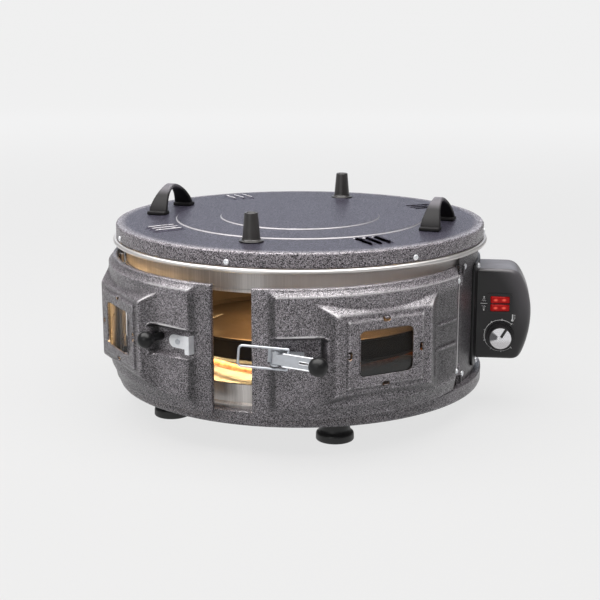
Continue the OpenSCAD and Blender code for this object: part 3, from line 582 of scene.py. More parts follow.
def doorSkin(a, z):  # radius of the sheet: the skin, raised by a field, a window block and ribs, sunk by a pocket
    d = door
    offMiddle = np.abs(z - d["midZ"])
    banks = [(z - field["low"][0]) / field["low"][1], (field["high"][0] - z) / field["high"][1],
             (a - field["near"][0]) / field["near"][1], (field["far"][0] - a) / field["far"][1]]
    rise = field["rise"] * np.minimum.reduce([np.ones(np.shape(a))] + banks)
    r = softMax(np.full(np.shape(a), d["skin"]), d["skin"] + rise, field["blend"])
    off = np.radians(a - d["blockA"])
    c, s = np.cos(off), np.sin(off)
    for grow, raised, bank, run, lift, k in blocks:
        w, h, top = d["blockW"] + grow, d["blockH"] + grow * d["taper"], d["blockD"] + raised
        left = (top + w * bank / run) / (c - s * bank / run)
        right = (top + w * bank / run) / (c + s * bank / run)
        over = (offMiddle - h) * bank / lift * (1 + d["steeper"] * off * off)  # steeper towards the ends
        block = softMin(softMin(top / c, left, k), softMin(right, (top - over) / c, k), k)
        r = softMax(r, block, k)
    for up in rib["ups"]:
        beside = np.abs(z - d["midZ"] - up)
        ridge = np.sqrt(np.clip(rib["r"] ** 2 - beside ** 2, 0, None)) + rib["base"]
        ends = ramp(np.minimum(a - rib["from"], rib["to"] - a), 0, rib["run"]) * (beside < rib["reach"])
        r = softMax(r, ridge - rib["sink"] * (1 - ends), rib["blend"])
    cut = hump(a, groove["a"], groove["wide"]) * ramp(groove["half"] - offMiddle, 0, groove["fade"])
    r = r - groove["deep"] * cut
    off = np.radians(a - d["pocketA"])
    along, up = r * np.sin(off), np.abs(z - d["pocketZ"]) - d["pocketH"]
    rimUp, rimEnd = up - lip["up"], along - lip["end"]
    rim = hump(np.maximum(rimUp, rimEnd), 0, lip["wide"]) * ramp(a, lip["from"], lip["run"])
    r = r + lip["high"] * rim * (rimUp < lip["reach"]) * (rimEnd < lip["reach"])
    wall = np.maximum(up, 0) * d["pocketBank"][0] + np.maximum(along - d["pocketL"], 0) * d["pocketBank"][1]
    return softMin(r, d["pocketD"] / np.cos(off) + wall, d["pocketBlend"])


# how much painted shade each part of the sheet gets, and how much painted highlight
wearAndPaintedLight = {"near": 0.9, "wide": 2.4, "side": 0.72, "under": 0.35, "hollow": 0.4, "recess": 0.62, "hinge": 0.4, "bank": 0.4,
        "low": 0.18, "leftFar": 0.28, "leftNear": 0.2, "ridge": 1.2, "brow": 0.6, "least": 0.15, "rim": 2.0}


def creaseShade(a, z, side):  # painted shade below 1 on sides, undersides and in creases of the sheet, in the recess, by the hinge, lower down and on the left door's far part; painted highlight above 1 along its ridges, the pocket's brow and the hinge rim
    near, wide = wearAndPaintedLight["near"], wearAndPaintedLight["wide"]
    nearA, wideA = near / perDegree, wide / perDegree
    across = (doorSkin(a + nearA, z) - doorSkin(a - nearA, z)) / (2 * near)
    under = (doorSkin(a, z + near) - doorSkin(a, z - near)) / (2 * near)
    aside = doorSkin(a + wideA, z) + doorSkin(a - wideA, z)
    bend = doorSkin(a, z) - (aside + doorSkin(a, z + wide) + doorSkin(a, z - wide)) / 4
    offMiddle = np.abs(z - door["midZ"])
    shade = 1 - wearAndPaintedLight["side"] * ramp(np.abs(across), 0.15, 0.6) - wearAndPaintedLight["under"] * ramp(under, 0.2, 0.6)
    shade = shade + np.clip(bend, -0.8, 0) * wearAndPaintedLight["hollow"]
    shade = shade * (1 - wearAndPaintedLight["recess"] * ramp(a, 52.0, 3.0) * ramp(54 - offMiddle, 0, 8))
    shade = shade * (1 - wearAndPaintedLight["hinge"] * ramp(a, 67.5, 2.0))
    shade = shade * (1 - wearAndPaintedLight["bank"] * hump(a, 6.2, 1.2) * ramp(60 - offMiddle, 0, 6))
    shade = shade * (1 - wearAndPaintedLight["low"] * ramp(100 - z, 0, 35))
    if side == "left":
        shade = shade * (1 - wearAndPaintedLight["leftFar"] * ramp(a, 21.0, 5.0)) * (1 - wearAndPaintedLight["leftNear"] * ramp(6.0 - a, 0, 1))
    low = (a < 21.5) & (z < door["pocketZ"])
    ridge = np.clip(bend - 0.12, 0, 0.6) * (under < 0.3) * ~low
    brow = hump(z, door["pocketZ"] + door["pocketH"] + 4.0, 1.2) * ramp(a, 7, 8) * (a < 20.3)
    shade = np.clip(shade, wearAndPaintedLight["least"], 1) + wearAndPaintedLight["ridge"] * ridge + wearAndPaintedLight["brow"] * brow
    # the strip by the hinge gets a painted highlight
    return np.where(a > 71.5, wearAndPaintedLight["rim"], shade)


def turnedEdge(low, high):  # places along one way of the sheet and how far each is bent back at its two rims
    b, deep = door["bend"], door["skin"] - door["inner"]
    turn = np.radians([90.0, 60.0, 30.0, 0.0])
    rimPlace = np.concatenate([[0, 0], b - b * np.sin(turn)])
    rimDrop = np.concatenate([[deep, (deep + b) / 2], b - b * np.cos(turn)])
    count = int((high - low - 2 * b) / door["cell"])
    inner = np.linspace(low + b, high - b, count + 1)[1:-1]
    place = np.concatenate([low + rimPlace, inner, (high - rimPlace)[::-1]])
    return place, np.concatenate([rimDrop, 0 * inner, rimDrop[::-1]])


def doorSheet(side):  # the skin on a grid that is drawn to the holes' edges, with its rims bent back
    d, tab = door, door["tab"]
    across, dropA = turnedEdge(d["edge0"] * perDegree, d["edge1"] * perDegree)
    up, dropZ = turnedEdge(d["z0"], d["z1"])
    a, z = np.meshgrid(across / perDegree, up)
    fallA, fallZ = np.meshgrid(dropA, dropZ)
    r = doorSkin(a, z)
    gone = (fallA > d["bend"] + 0.1) & (fallZ > d["bend"] + 0.1)
    u, v = r * np.sin(np.radians(a - d["blockA"])), z - d["midZ"]
    holes = [(0, 0, d["window"][0] / 2, d["window"][1] / 2, d["window"][2])]
    holes += [(0, s * tab["up"], tab["long"], tab["short"], tab["r"]) for s in (1, -1)]
    holes += [(s * tab["aside"], 0, tab["short"], tab["long"], tab["r"]) for s in (1, -1)]
    inside = np.zeros(a.shape, bool)
    for cu, cv, hu, hv, radius in holes:
        distance, du, dv = slabRound(u - cu, v - cv, hu, hv, radius)
        near = (np.abs(np.degrees(u / d["skin"])) < 30) & (distance < 0.35) & (distance > -1.9)
        inside |= (distance < -0.02)
        u = np.where(near, u - distance * du, u)
        v = np.where(near, v - distance * dv, v)
    drawn = d["blockA"] + np.degrees(np.arcsin(np.clip(u / r, -1, 1)))
    a = np.where(np.abs(a - d["blockA"]) < 30, drawn, a)
    z = v + d["midZ"]
    r = doorSkin(a, z) - np.minimum(fallA + fallZ, d["skin"] - d["inner"])
    aside, low, high = d["notch"]
    notch = (a > d["hinge"] - aside) & ((z < low) | (z > high))  # room for the hinge's leaves
    faces = gridFaces(*a.shape)
    dropped = [mask.ravel()[faces].all(1) for mask in (inside, gone, notch)]
    faces = faces[~np.logical_or.reduce(dropped)]
    if side == "left":
        faces = faces[:, ::-1]
    return (swing(aroundDrum(a, r, z), side), faces), creaseShade(a, z, side)


def doorLiner(side):  # the bare inner face of the pressed sheet, just inside it, with the window left open
    d, tab = door, door["tab"]
    a, z = np.meshgrid(np.linspace(1.5, 71.0, 140), np.linspace(50.0, 182.5, 90))
    r = doorSkin(a, z) - d["sheet"] - 0.25
    u, v = r * np.sin(np.radians(a - d["blockA"])), z - d["midZ"]
    distance = slabRound(u, v, d["window"][0] / 2 + 1, d["window"][1] / 2 + 1, d["window"][2])[0]
    tabs = np.minimum(np.hypot(u, np.abs(v) - tab["up"]), np.hypot(np.abs(u) - tab["aside"], v)) - 5.0
    distance = np.minimum(distance, tabs)
    faces = gridFaces(*a.shape)
    faces = faces[~(distance < 0.5).ravel()[faces].any(1)]
    return swing(aroundDrum(a, r, z), side), faces[:, ::-1] if side == "right" else faces


tongue = {"up": 36.2, "aside": 44.8, "wide": 4.6, "thick": 1.3, "soft": 0.4, "lean": 1.2, "out": 0.6}


def doorTongues(side):  # bent tongues that hold the glass, one at each hole
    shapes = []
    turn = faceTurn(door["blockA"])
    wide, thick = tongue["wide"], tongue["thick"]
    level, upright = (wide, thick, wide), (thick, wide, wide)
    for u, v, size in ((0, tongue["up"], level), (0, -tongue["up"], level),
                       (tongue["aside"], 0, upright), (-tongue["aside"], 0, upright)):
        points, faces = softBox(size, tongue["soft"], 3)
        lean = points[:, 2:] / wide * tongue["lean"]
        points = points + np.concatenate([-np.sign(u) * lean, -np.sign(v) * lean, 0 * lean], 1)
        points = points + np.array([u, v + door["midZ"], door["blockD"] + tongue["out"]])
        shapes.append((swing(points @ turn.T, side), faces))
    return together(shapes)


for side in ("right", "left"):
    shape, shade = doorSheet(side)
    sheet = addPiece(side + "DoorSheet", shape, doorPaint, side + "_door", (side + "_door_panel",),
                     outward=False, sharp=0, shade=shade)
    addPiece(side + "DoorLiner", doorLiner(side), brightSheet, side + "_door", (), outward=False,
             sharp=0)
    addWall(sheet, door["sheet"])
    addPiece(side + "DoorTongues", doorTongues(side), hammerPaint, side + "_door", ())

latch = {"u": -27.3, "h": 12.5, "turn": -4.5, "tilt": 22.0, "length": 50.0, "half": 6.6, "face": 3.1, "bead": 0.75,
         "bare": 9.0, "slot": (26.0, 36.0, 1.4), "slotBead": 0.45}


def onLever(points):  # from the lever's frame, x along it and z out of its face, to the right door's place
    t = math.radians(latch["tilt"])
    tilt = np.array([[math.cos(t), 0, -math.sin(t)], [0, 1, 0], [math.sin(t), 0, math.cos(t)]])
    turned = (points @ tilt.T + np.array([0, 0, latch["h"]])) @ turnZ(latch["turn"]).T
    placed = turned + np.array([latch["u"], door["midZ"], door["pocketD"]])
    return swing(placed @ faceTurn(door["pocketA"]).T, "right")


def leverBeads():  # a rolled bead along each long edge of the lever and one round its slot
    shapes = []
    x = np.linspace(latch["bare"], latch["length"] - latch["bare"], 24)
    for s in (-1, 1):
        path = np.stack([x, 0 * x + s * latch["half"], 0 * x + latch["face"]], 1)
        shapes.append(tube(path, latch["bead"]))
    low, high, half = latch["slot"]
    t = np.linspace(0, 2 * math.pi, 41)
    along, across = np.clip(1.5 * np.cos(t), -1, 1), np.clip(1.5 * np.sin(t), -1, 1)
    ring = np.stack([(low + high) / 2 + along * (high - low) / 2, half * across, 0 * t + latch["face"] + 0.1], 1)
    shapes.append(tube(ring, latch["slotBead"]))
    return together([(onLever(p.reshape(-1, 3)), f) for p, f in shapes])


addPiece("leverBeads", leverBeads(), highlightZinc, "latch_lever", ())
print("doors made")

lid = {"r": 215.0, "bend": 3.0, "top": 217.5, "ring1": 144.9, "ring2": 93.1, "slope": 1.1, "steps": (1.3, 1.2),
       "stepRun": 1.4, "turn": -1.5, "wall": 1.2,
       "rings": ((0.5, 90, 12), (92, 94.2, 9), (96, 142, 7), (143.8, 146, 9), (147, 191, 32), (192.4, 212, 6)),
       "skirt": ((215.0, 210), (215.0, 205), (215.0, 201.6), (214.4, 200.9), (213.6, 201.2), (206.0, 201.2)),
       "vent0": 152.2, "ventL": 36.5, "ventW": 1.6, "ventR": 1.2, "lift": 2.6, "lipRun": 6.5, "ventTurn": 46.2,
       "ventGap": 11.5, "ventEnd": 200,
       "vents": {0: (1.0, 0.3), 1: (0.35, 0.0), 2: (1.0, 1.0), 3: (1.0, 1.0)}}  # each group's lip height and painted highlight


def onLid(points):  # from the lid's own turn to its place
    return points @ turnZ(lid["turn"]).T + drumAt


def lidHeight(r):  # a slow rise to the outer ring, then two steps up towards the middle
    edge = lid["r"] - lid["bend"]
    height = lid["top"] + lid["slope"] * ramp(edge - r, 0, edge - lid["ring1"])
    for ring, step in zip((lid["ring1"], lid["ring2"]), lid["steps"]):
        height = height + step * smooth(ramp(ring + lid["stepRun"] / 2 - r, 0, lid["stepRun"]))
    return height


def lidSheet():  # the height carried round, on a grid that is drawn to the vents' edges, with a lip raised beside each, and each point's painted highlight
    bend = np.radians(np.linspace(90, 0, 7))[1:]
    top = np.unique(np.concatenate([np.linspace(*ring) for ring in lid["rings"]]))
    skirt = np.array(lid["skirt"])
    r = np.concatenate([top, lid["r"] - lid["bend"] + lid["bend"] * np.cos(bend), skirt[:, 0]])
    z = np.concatenate([lidHeight(top), lid["top"] - lid["bend"] + lid["bend"] * np.sin(bend), skirt[:, 1]])
    quarters = np.arange(4)[:, None] * 90
    dense = quarters + np.linspace(-7.5, 7.5, 37)[None]
    between = quarters + 45 + np.linspace(-36.5, 36.5, 41)[None]
    a = np.sort(np.concatenate([dense.ravel(), between.ravel()]))
    rr, aa = np.meshgrid(r, a, indexing="ij")
    zz = np.repeat(z[:, None], len(a), 1)
    group = np.round(aa / 90) * 90
    off = np.radians(aa - group)
    half = lid["ventL"] / 2
    flat = rr < lid["ventEnd"]
    u, v = rr * np.sin(off), rr * np.cos(off) - lid["vent0"] - half
    inside = np.zeros(u.shape, bool)
    raised, tips = np.zeros(u.shape), np.zeros(u.shape)
    for cu in (-lid["ventGap"], 0.0, lid["ventGap"]):
        distance, du, dv = slabRound(u - cu, v, lid["ventW"], half, lid["ventR"])
        near = (distance < 0.45) & (distance > -1.6) & flat
        inside |= distance < -0.02
        u = np.where(near, u - distance * du, u)
        v = np.where(near, v - distance * dv, v)
        away = (u - cu - lid["ventW"]) / lid["lipRun"]
        ends = ramp(half + 1 - np.abs(v), 0, 5)
        edge = np.where(away > -0.05, np.clip(1 - away, 0, 1) ** 1.6, 0) * np.sqrt(ends)
        raised = np.maximum(raised, edge * flat)
        tips = np.maximum(tips, np.clip(2 - np.hypot(u - cu, v + half + 1) / 1.6, 0, 1) * flat)
    vv = v + lid["vent0"] + half
    rr, off = np.where(flat, np.hypot(u, vv), rr), np.where(flat, np.arctan2(u, vv), off)
    which = np.round(aa / 90).astype(int) % 4
    height, paintedHighlight = [np.array([lid["vents"][k][i] for k in range(4)])[which] for i in (0, 1)]
    zz = zz + lid["lift"] * raised * height
    points = aroundDrum(np.degrees(off) + group + lid["ventTurn"], rr, zz)
    faces = gridFaces(len(r), len(a), True)
    faces = faces[~inside.ravel()[faces].all(1)]
    middle = np.array([[0, 0, z[0]]])
    first, hubAt = np.arange(len(a)), np.full(len(a), len(points))
    hub = np.stack([hubAt, hubAt, np.roll(first, -1), first], 1)
    points, faces = np.concatenate([points, middle]), np.concatenate([faces, hub])
    # painted highlight on the lips, and on the tips of the front group
    bright = np.maximum(raised * paintedHighlight, tips * (which == 0))
    return (onLid(points), faces[:, ::-1]), np.append(bright.ravel(), 0)


lidShape, lidLipHighlights = lidSheet()
lidTop = addPiece("lidSheet", lidShape, lidPaint, "lid", ("lid_shell",), outward=False, sharp=0,
                  shade=lidLipHighlights)
addWall(lidTop, lid["wall"])

strap = {"ring": 166.0, "span": 74.5, "height": 32.0, "peak": 1.2, "waist": 130.0, "narrow": 5.2, "wide": 11.0,
         "half": 3, "thick": 4.5, "soft": 1.3, "pad": (22.6, 15.0, 4.2), "padSoft": 1.1, "z": 218.35}


def strapHandle(side):  # a flat section carried over an arch, narrowest in the middle, on two pads
    w, h, soft = strap["span"] / 2, strap["height"], strap["soft"]
    t = np.radians(np.linspace(0, 180, 49))
    along = np.sign(np.cos(t)) * np.abs(np.cos(t)) ** strap["peak"]
    up = np.sign(np.sin(t)) * np.abs(np.sin(t)) ** strap["peak"]
    outer = np.stack([(w + strap["half"]) * along, h * up], 1)
    inner = np.stack([(w - strap["half"]) * along, (h - strap["thick"]) * up], 1)
    waist = strap["waist"] + strap["narrow"] - np.sqrt(strap["waist"] ** 2 - outer[:, 0] ** 2)
    half = np.minimum(strap["wide"], waist)
    turn, sideX, sideT = roundTurn(4)
    x = sideX * (half[:, None] - soft) + soft * np.cos(turn)
    thick = np.linalg.norm(outer - inner, axis=1)[:, None]
    share = 0.5 + (sideT * (thick / 2 - soft) + soft * np.sin(turn)) / thick
    yz = inner[:, None] + (outer - inner)[:, None] * share[..., None]
    shapes = [(np.concatenate([x[..., None], yz], -1), gridFaces(len(t), len(turn), True))]
    for end in (-1, 1):
        p, f = softBox(strap["pad"], strap["padSoft"])
        shapes.append((p + np.array([0, end * w, strap["pad"][2] / 2]), f))
    points, faces = together(shapes)
    return onLid(points + np.array([side * strap["ring"], 0, strap["z"]])), faces


addPiece("strapLeft", strapHandle(-1), handlePlastic, "lid", ("lid_handle_left",))
addPiece("strapRight", strapHandle(1), handlePlastic, "lid", ("lid_handle_right",))

bead = {"c": 215.75, "z": 197.75, "r": 2.80}


def rolledBead():  # a circle carried round the drum
    t = np.radians(np.linspace(0, 360, 25))
    points, faces = lathe(np.stack([bead["c"] + bead["r"] * np.cos(t), bead["z"] + bead["r"] * np.sin(t)], 1), 240)
    return points + drumAt, faces


addPiece("rimBead", rolledBead(), brightSheet, "oven", (), sharp=0)

post = {"ring": 163.0, "z": 218.4, "height": 31.2, "aside": {-1: 2.1, 1: 0.5}, "soft": 0.9}


def standPosts():  # a foot, a tapering shaft and a hollow top, turned
    h = post["height"]
    profile = eased([[0.01, 0], [13.4, 0], [13.4, 1.3], [10.4, 2.4], [9.6, 4.2], [7.3, h - 1.0], [6.9, h], [5.0, h],
                     [4.6, h - 1.0], [0.01, h - 1.2]], post["soft"])
    shapes = []
    for front in (-1, 1):
        points, faces = lathe(profile, 48)
        points = points.reshape(-1, 3) + np.array([post["aside"][front], front * post["ring"], post["z"]])
        shapes.append((onLid(points), faces))
    return together(shapes)


addPiece("standPosts", standPosts(), postPlastic, "lid", ("lid_posts",))
print("lid made")

foot = {"angles": (31, 135, -149, -45), "ring": 166.0, "r": 21.0, "h": 30.0, "soft": 1.6}


def rubberFeet():  # a broad tread, a waist and a collar, turned
    r, h = foot["r"], foot["h"]
    profile = eased([[0.01, 0], [r - 1.2, 0], [r, 1.2], [r - 0.3, h * 0.28], [r * 0.86, h * 0.35], [r * 0.80, h * 0.42],
                     [r * 0.76, h * 0.78], [r * 0.83, h * 0.85], [r * 0.83, h], [0.01, h]], foot["soft"])
    shapes = []
    for angle in foot["angles"]:
        points, faces = lathe(profile, 56)
        points = points.reshape(-1, 3) + np.array([0, -foot["ring"], 0])
        shapes.append((points @ turnZ(angle).T + drumAt, faces))
    return together(shapes)


addPiece("rubberFeet", rubberFeet(), footRubber, "oven", ("feet",))


def headShape(radius, height, cross):  # a dome over a short collar, with a cross-shaped hollow if asked for
    share = np.linspace(1, 0.02, 9)[:, None]
    a = np.linspace(0, 2 * math.pi, 32, endpoint=False)[None]
    dome = height * (0.35 + 0.65 * np.sqrt(np.clip(1 - share ** 2, 0, 1)))
    x, y = radius * share * np.cos(a), radius * share * np.sin(a)
    arm = np.minimum(np.abs(x), np.abs(y))
    hollow = cross * np.clip(1 - arm / (0.2 * radius), 0, 1) * ramp(0.62 - share, 0, 0.12)
    top = np.stack([x, y, dome - hollow * height * 0.55], -1)
    base = top[:1] * np.array([1, 1, 0])
    shank = base * np.array([0.5, 0.5, 1])
    points = np.concatenate([shank - np.array([0, 0, 1.2]), shank, base, top])
    middle = np.repeat(points[-1:].mean(1, keepdims=True), a.size, 1)
    return np.concatenate([points, middle]), gridFaces(len(points) + 1, a.size, True)


def heads(places, radius, height, cross=0.0):  # one head for each (turn, place) pair
    shapes = []
    for turn, at in places:
        points, faces = headShape(radius, height, cross)
        shapes.append((points.reshape(-1, 3) @ turn.T + at, faces))
    return together(shapes)


def onSkin(a, z, r):  # a head's frame on the drum at an angle, a height and a radius
    turn = faceTurn(a)
    return turn, turn @ np.array([0, z, r])


# each set's angles, heights and radius on the drum, and its heads' radius, height and cross
screws = {"skirt": ((-51.5, -1.5, 53.5, 104, 155, 206, 257), (205.6,), 215.0, (3.1, 1.7, 1.0)),
          "shell": ((-78.5, 78.5), (56.5, 180.25), 209.2, (3.4, 1.7)),
          "flange": ((91.5, 108.5), (60.85, 172.35), 212.0, (3.4, 2.2, 1.0)),
          "door": ((71.3,), (66.8, 169.2), 214.0, (3.0, 1.7))}


def spots(name):  # the places of a set
    angles, heights, r, size = screws[name]
    return [onSkin(a, z, r) for a in angles for z in heights]


lidTurn = turnZ(lid["turn"])
skirtSpots = [(lidTurn @ t, lidTurn @ p + drumAt) for t, p in spots("skirt")]
addPiece("skirtScrews", heads(skirtSpots, *screws["skirt"][3]), highlightZinc, "lid", ("lid_screws",))
shellSpots = [(t, p + drumAt) for t, p in spots("shell")]
addPiece("shellRivetHeads", heads(shellSpots, *screws["shell"][3]), highlightZinc, "oven", ("shell_rivets",))
flangeSpots = [(t, p + drumAt) for t, p in spots("flange")]
addPiece("flangeScrewHeads", heads(flangeSpots, *screws["flange"][3]), highlightZinc, "oven", ("flange_screws",))
for side in ("right", "left"):
    mirror = np.diag([-1.0, 1, 1]) if side == "left" else np.eye(3)
    doorTurn = mirror @ turnZ(door["open"][side])
    doorSpots = [(doorTurn @ t, swing(p[None], side)[0]) for t, p in spots("door")]
    addPiece(side + "DoorRivetHeads", heads(doorSpots, *screws["door"][3]), highlightZinc, side + "_door",
             (side + "_door_rivets",))
print("fasteners made")

box = {"flangeR": 212.0, "shellR": 209.0, "inX": 208.6, "midX": 236.0, "z": 116.6, "h": 103.7, "d": 62.0,
       "bulgeX": 181.5, "bulgeR": 89.95, "edge": 14.0, "topEdge": 5.0, "backEdge": 0.4, "edgeRun": 8, "corner": 9.0,
       "drop": 2.3, "low": 2.0, "sag": 0.86, "panelY": -31.0}


def boxPoint(x, y, z):  # the box's own frame: x away from the drum, -y to the front
    return np.stack(np.broadcast_arrays(x, y, z), -1) @ panelTurn.T + drumAt


def roundEnd(x, z):  # distance from the round end's middle, with heights drawn together below it
    z = z + box["low"]
    return np.hypot(x - box["bulgeX"], np.where(z < 0, box["sag"], 1.0) * z)


def boxOutline(count=160):  # the round end blended with the level top and bottom, found along rays by halving
    t = np.linspace(0, 2 * math.pi, count, endpoint=False)
    tall = (box["h"] + box["drop"]) / 2  # the bottom is let down, the top stays

    def onRay(reach):
        return box["midX"] + reach * np.cos(t), reach * np.sin(t)

    low, high = np.zeros(count), np.full(count, 120.0)
    for step in range(40):
        middle = (low + high) / 2
        x, z = onRay(middle)
        end = softMax(roundEnd(x, z) - box["bulgeR"], np.abs(z + box["drop"] / 2) - tall, box["corner"])
        out = np.maximum(end, box["inX"] - x) > 0
        low, high = np.where(out, low, middle), np.where(out, middle, high)
    x, z = onRay(low)
    level = smooth(ramp(np.abs(z + box["drop"] / 2) - tall + box["edgeRun"], 0, box["edgeRun"]))
    edge = box["edge"] + (box["topEdge"] - box["edge"]) * level
    return np.stack([x, z], 1), np.where(x < box["shellR"], box["backEdge"], edge)


def housing():  # the outline raised to a rounded face on both sides
    outline, edge = boxOutline()
    half, faces = pillow(outline, edge, 0.0, box["d"] / 2, 10, radial=True)
    front = boxPoint(half[..., 0], -half[..., 2], half[..., 1] + box["z"])
    back = boxPoint(half[..., 0], half[..., 2], half[..., 1] + box["z"])
    return together([(front, faces), (back, faces[:, ::-1])])


addPiece("boxHousing", housing(), boxPlastic, "oven", ("control_housing",))

flange = {"a": 100.0, "half": 13.5, "r": 210.5, "halfZ": 60.35, "corner": 9.0, "edge": 1.4}


def curvedFlange():  # a rounded rectangle laid round the shell
    halfA, halfZ, r = math.radians(flange["half"]) * flange["r"], flange["halfZ"], flange["corner"]
    turn, sx, sz = roundTurn(9)
    outline = np.stack([sx * (halfA - r) + r * np.cos(turn), sz * (halfZ - r) + r * np.sin(turn)], 1)
    ahead = np.roll(outline, -1, 0)
    counts = [14 if i % 9 == 8 else 1 for i in range(len(outline))]  # the straight sides are cut up, the arcs are not
    sides = [np.linspace(p, q, n, endpoint=False) for p, q, n in zip(outline, ahead, counts)]
    points, faces = pillow(np.concatenate(sides), flange["edge"], box["shellR"], box["flangeR"], 5)
    a = flange["a"] + np.degrees(points[..., 0] / flange["r"])
    return aroundDrum(a, points[..., 2], points[..., 1] + box["z"]) + drumAt, faces


addPiece("curvedFlange", curvedFlange(), knobPlastic, "oven", ("control_flange",))

rocker = {"x": 235.6, "z": 128.1, "pitch": 9.3, "tilt": 7.0, "size": (21.6, 8.6, 7.9), "soft": 1.1, "back": 0.4,
          "swell": 0.8, "in": 2}


def rockerShape(z):  # a soft box whose front swells in the middle
    points, faces = softBox(rocker["size"], rocker["soft"], 5)
    points = points + np.array([0, rocker["back"], 0])
    share = np.clip(1 - (points[:, 0] / (rocker["size"][0] / 2)) ** 2, 0, 1)
    points[:, 1] -= rocker["swell"] * share * (points[:, 1] < 0)
    points = points @ turnZ(rocker["tilt"]).T + np.array([rocker["x"], box["panelY"] + rocker["in"], z])
    return boxPoint(*points.T), faces


for name, level in (("upper", 1), ("lower", -1)):
    rockerZ = rocker["z"] + level * rocker["pitch"] / 2
    lens = finish(name + "Lens", lensLook(boxPoint(rocker["x"], box["panelY"], rockerZ)), Roughness=0.16,
                  **{"Emission Strength": 0.75, "Specular IOR Level": 0.2})
    addPiece(name + "Rocker", rockerShape(rockerZ), lens, "rocker_" + name, ("rocker_" + name,))


def stroke(path, width):  # a flat line of even width on the panel
    path = np.asarray(path, float)
    along = np.gradient(path, axis=0)
    along /= np.linalg.norm(along, axis=1)[:, None]
    side = np.stack([-along[:, 1], along[:, 0]], 1) * width / 2
    flat = np.stack([path + side, path - side], 1)
    return flat, gridFaces(len(path), 2)


def arcPath(x, z, r, degrees):  # points of a circle on the panel
    t = np.radians(degrees)
    return np.stack([x + r * np.cos(t), z + r * np.sin(t)], -1)


marks = {"sweep": (48, 312), "ring": (18.4, 0.55), "ticks": (8, 17.6, 19.8, 0.9), "glass": (250.6, 109.2, 116.0, 1.3),
         "ball": (109.0, 0.8, 1.4), "scale": (252.2, 253.6, (111.0, 113.0, 115.0), 0.5), "bar": (213.6, 221.4, 0.6),
         "wave": ((215.2, 0), (216.2, 0.7), (217.2, -0.7), (218.2, 0.7), (219.2, -0.7), (219.8, 0)), "waveUp": 3.4,
         "shelf": (216.2, 218.8, 2.0), "stem": (217.5, 3.2, 5.0, 1.3), "thin": 0.5, "over": 0.08}


def panelMarks():  # tick ring, thermometer and heater marks in white ink
    m, x, z = marks, knob["x"], knob["z"]
    shapes = [stroke(arcPath(x, z, m["ring"][0], np.linspace(*m["sweep"], 60)), m["ring"][1])]
    count, inner, outer, width = m["ticks"]
    for degrees in np.linspace(*m["sweep"], count):
        shapes.append(stroke([arcPath(x, z, inner, degrees), arcPath(x, z, outer, degrees)], width))
    glassX, low, high, width = m["glass"]
    shapes.append(stroke([[glassX, low], [glassX, high]], width))
    ballZ, ballR, width = m["ball"]
    shapes.append(stroke(arcPath(glassX, ballZ, ballR, np.linspace(0, 360, 17)), width))
    left, right, heights, width = m["scale"]
    shapes += [stroke([[left, height], [right, height]], width) for height in heights]
    left, right, width = m["bar"]
    shapes.append(stroke([[left, rocker["z"]], [right, rocker["z"]]], width))
    for s in (-1, 1):  # one heater mark above the bar and one below
        level = rocker["z"] + s * m["waveUp"]
        shapes.append(stroke(np.array(m["wave"]) + np.array([0, level]), m["thin"]))
        left, right, up = m["shelf"]
        shapes.append(stroke([[left, level + s * up], [right, level + s * up]], m["thin"]))
        stem, low, high, width = m["stem"]
        shapes.append(stroke([[stem, level + s * low], [stem, level + s * high]], width))
    flat, faces = together(shapes)
    over = roundEnd(flat[:, 0], flat[:, 1] - box["z"]) - (box["bulgeR"] - box["edge"])
    curve = box["edge"] - np.sqrt(np.clip(box["edge"] ** 2 - over ** 2, 0, None))  # the face falls away there
    return boxPoint(flat[:, 0], box["panelY"] - m["over"] + np.where(over > 0, curve, 0), flat[:, 1]), faces[:, ::-1]


addPiece("panelMarks", panelMarks(), whiteInk, "oven", (), outward=False)
print("control box made")

stageLook = {"tone": (0.06, 0.06, 0.06, 1), "near": (0.73, 0.73, 0.73, 1), "far": (0.86, 0.86, 0.86, 1),
             "world": (0.15, 0.15, 0.155, 1), "spread": (0.4, 4.0), "floor": 900, "wallR": 20, "wallH": 12.0}
matt = {"Roughness": 0.9, "Base Color": stageLook["tone"], "Specular IOR Level": 0.0, "Emission Strength": 1.0}


def floorLook(place):  # paler away from the oven
    x, y, z = parts(place)
    away = place.calc("SQRT", x * x + y * y).span(*stageLook["spread"])
    return {"Emission Color": away.blend(stageLook["near"], stageLook["far"])}


def stageObject(name, points, faces, material):
    mesh = bpy.data.meshes.new(name)
    mesh.from_pydata(points, [], faces)
    mesh.materials.append(material)
    thing = bpy.data.objects.new(name, mesh)
    bpy.context.scene.collection.objects.link(thing)
    return thing


far = stageLook["floor"]
floor = stageObject("floor", [(-far, -far, 0), (far, -far, 0), (far, far, 0), (-far, far, 0)], [(0, 1, 2, 3)],
                    finish("paleFloor", floorLook, **matt))
floor.visible_diffuse = False  # the oven is lit by the lamps and the studio alone
around = np.linspace(0, 2 * math.pi, 96, endpoint=False)
wallRing = stageLook["wallR"] * np.stack([np.cos(around), np.sin(around)], 1)
wallPoints = np.concatenate([np.insert(wallRing, 2, height, axis=1) for height in (0.0, stageLook["wallH"])])
backdrop = stageObject("backdrop", wallPoints.tolist(), gridFaces(2, 96, True)[:, ::-1].tolist(),
                       finish("paleWall", None, **matt, **{"Emission Color": stageLook["far"]}))
backdrop.visible_diffuse = backdrop.visible_glossy = False  # seen behind the oven only

world = bpy.data.worlds.new("studio")
world.use_nodes = True
world.node_tree.nodes["Background"].inputs[0].default_value = stageLook["world"]
bpy.context.scene.world = world

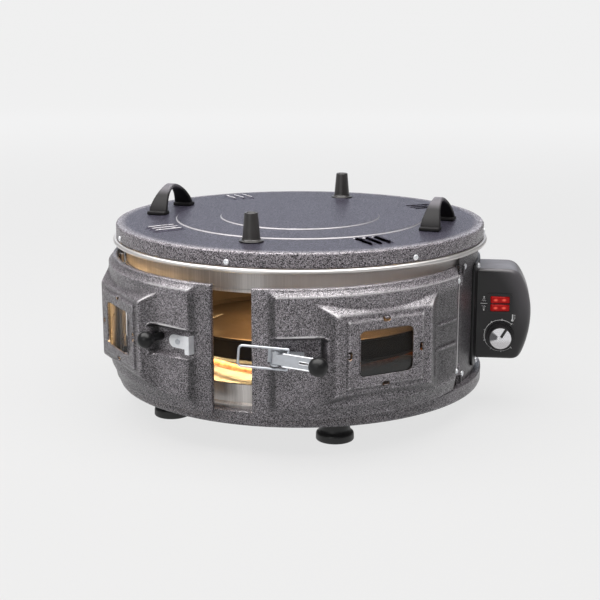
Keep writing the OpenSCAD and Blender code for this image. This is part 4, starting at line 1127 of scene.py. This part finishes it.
# each lamp's place, aim, size, power, colour and spread
lamps = {"key": ((-0.25, -0.30, 1.85), (-0.25, -0.29, 0.1), (3.3, 2.0), 112.0, (1, 0.985, 0.97), 180),
         "left": ((-1.9, -0.9, 0.9), (-0.1, 0, 0.12), (1.1, 1.1), 2.5, (0.96, 0.98, 1), 180),
         "front": ((-0.35, -2.4, 1.0), (0, 0, 0.12), (1.6, 1.0), 11.0, (1, 1, 1), 180),
         "back": ((-1.1, 3.4, 1.55), (-0.03, 0, 0.2), (4.0, 2.0), 24.0, (0.84, 0.89, 1), 180),
         "underTray": ((-0.085, -0.085, 0.074), (-0.085, -0.085, 0.0), (0.08, 0.08), 0.4, (1, 0.74, 0.36), 70),
         "overTray": ((-0.027, 0.023, 0.178), (-0.027, 0.023, 0.0), (0.16, 0.16), 1.1, (1, 0.50, 0.18), 180),
         "sideGlow": ((-0.12, -0.05, 0.150), (-0.225, -0.075, 0.110), (0.06, 0.06), 0.7, (1, 0.68, 0.32), 180),
         "wallGlow": ((-0.145, 0.035, 0.070), (-0.228, 0.055, 0.066), (0.05, 0.03), 0.6, (1, 0.66, 0.30), 180)}
for name, (at, aim, size, power, colour, spread) in lamps.items():
    light = bpy.data.lights.new(name, "AREA")
    light.shape, light.size, light.size_y = "RECTANGLE", size[0], size[1]
    light.energy, light.color, light.spread = power, colour, math.radians(spread)
    lamp = bpy.data.objects.new(name, light)
    lamp.location = at
    way = np.array(aim) - np.array(at)
    level = math.hypot(way[0], way[1])
    lamp.rotation_euler = (math.atan2(level, -way[2]), 0, math.atan2(way[1], way[0]) - math.pi / 2)
    bpy.context.scene.collection.objects.link(lamp)

shot = {"lens": 77.56, "sensor": 36.0, "from": 17.7, "away": 1505, "height": 0.47335, "tilt": 76.71}
camera = bpy.data.objects.new("camera", bpy.data.cameras.new("camera"))
camera.data.lens, camera.data.sensor_width = shot["lens"], shot["sensor"]
shotWay = math.radians(shot["from"])
camera.location = ((drumAt[0] + shot["away"] * math.sin(shotWay)) * mm,
                   (drumAt[1] - shot["away"] * math.cos(shotWay)) * mm, shot["height"])
camera.rotation_euler = (math.radians(shot["tilt"]), 0, shotWay)
bpy.context.scene.collection.objects.link(camera)
bpy.context.scene.camera = camera
bpy.context.scene.view_settings.view_transform = "Standard"
print("stage set")
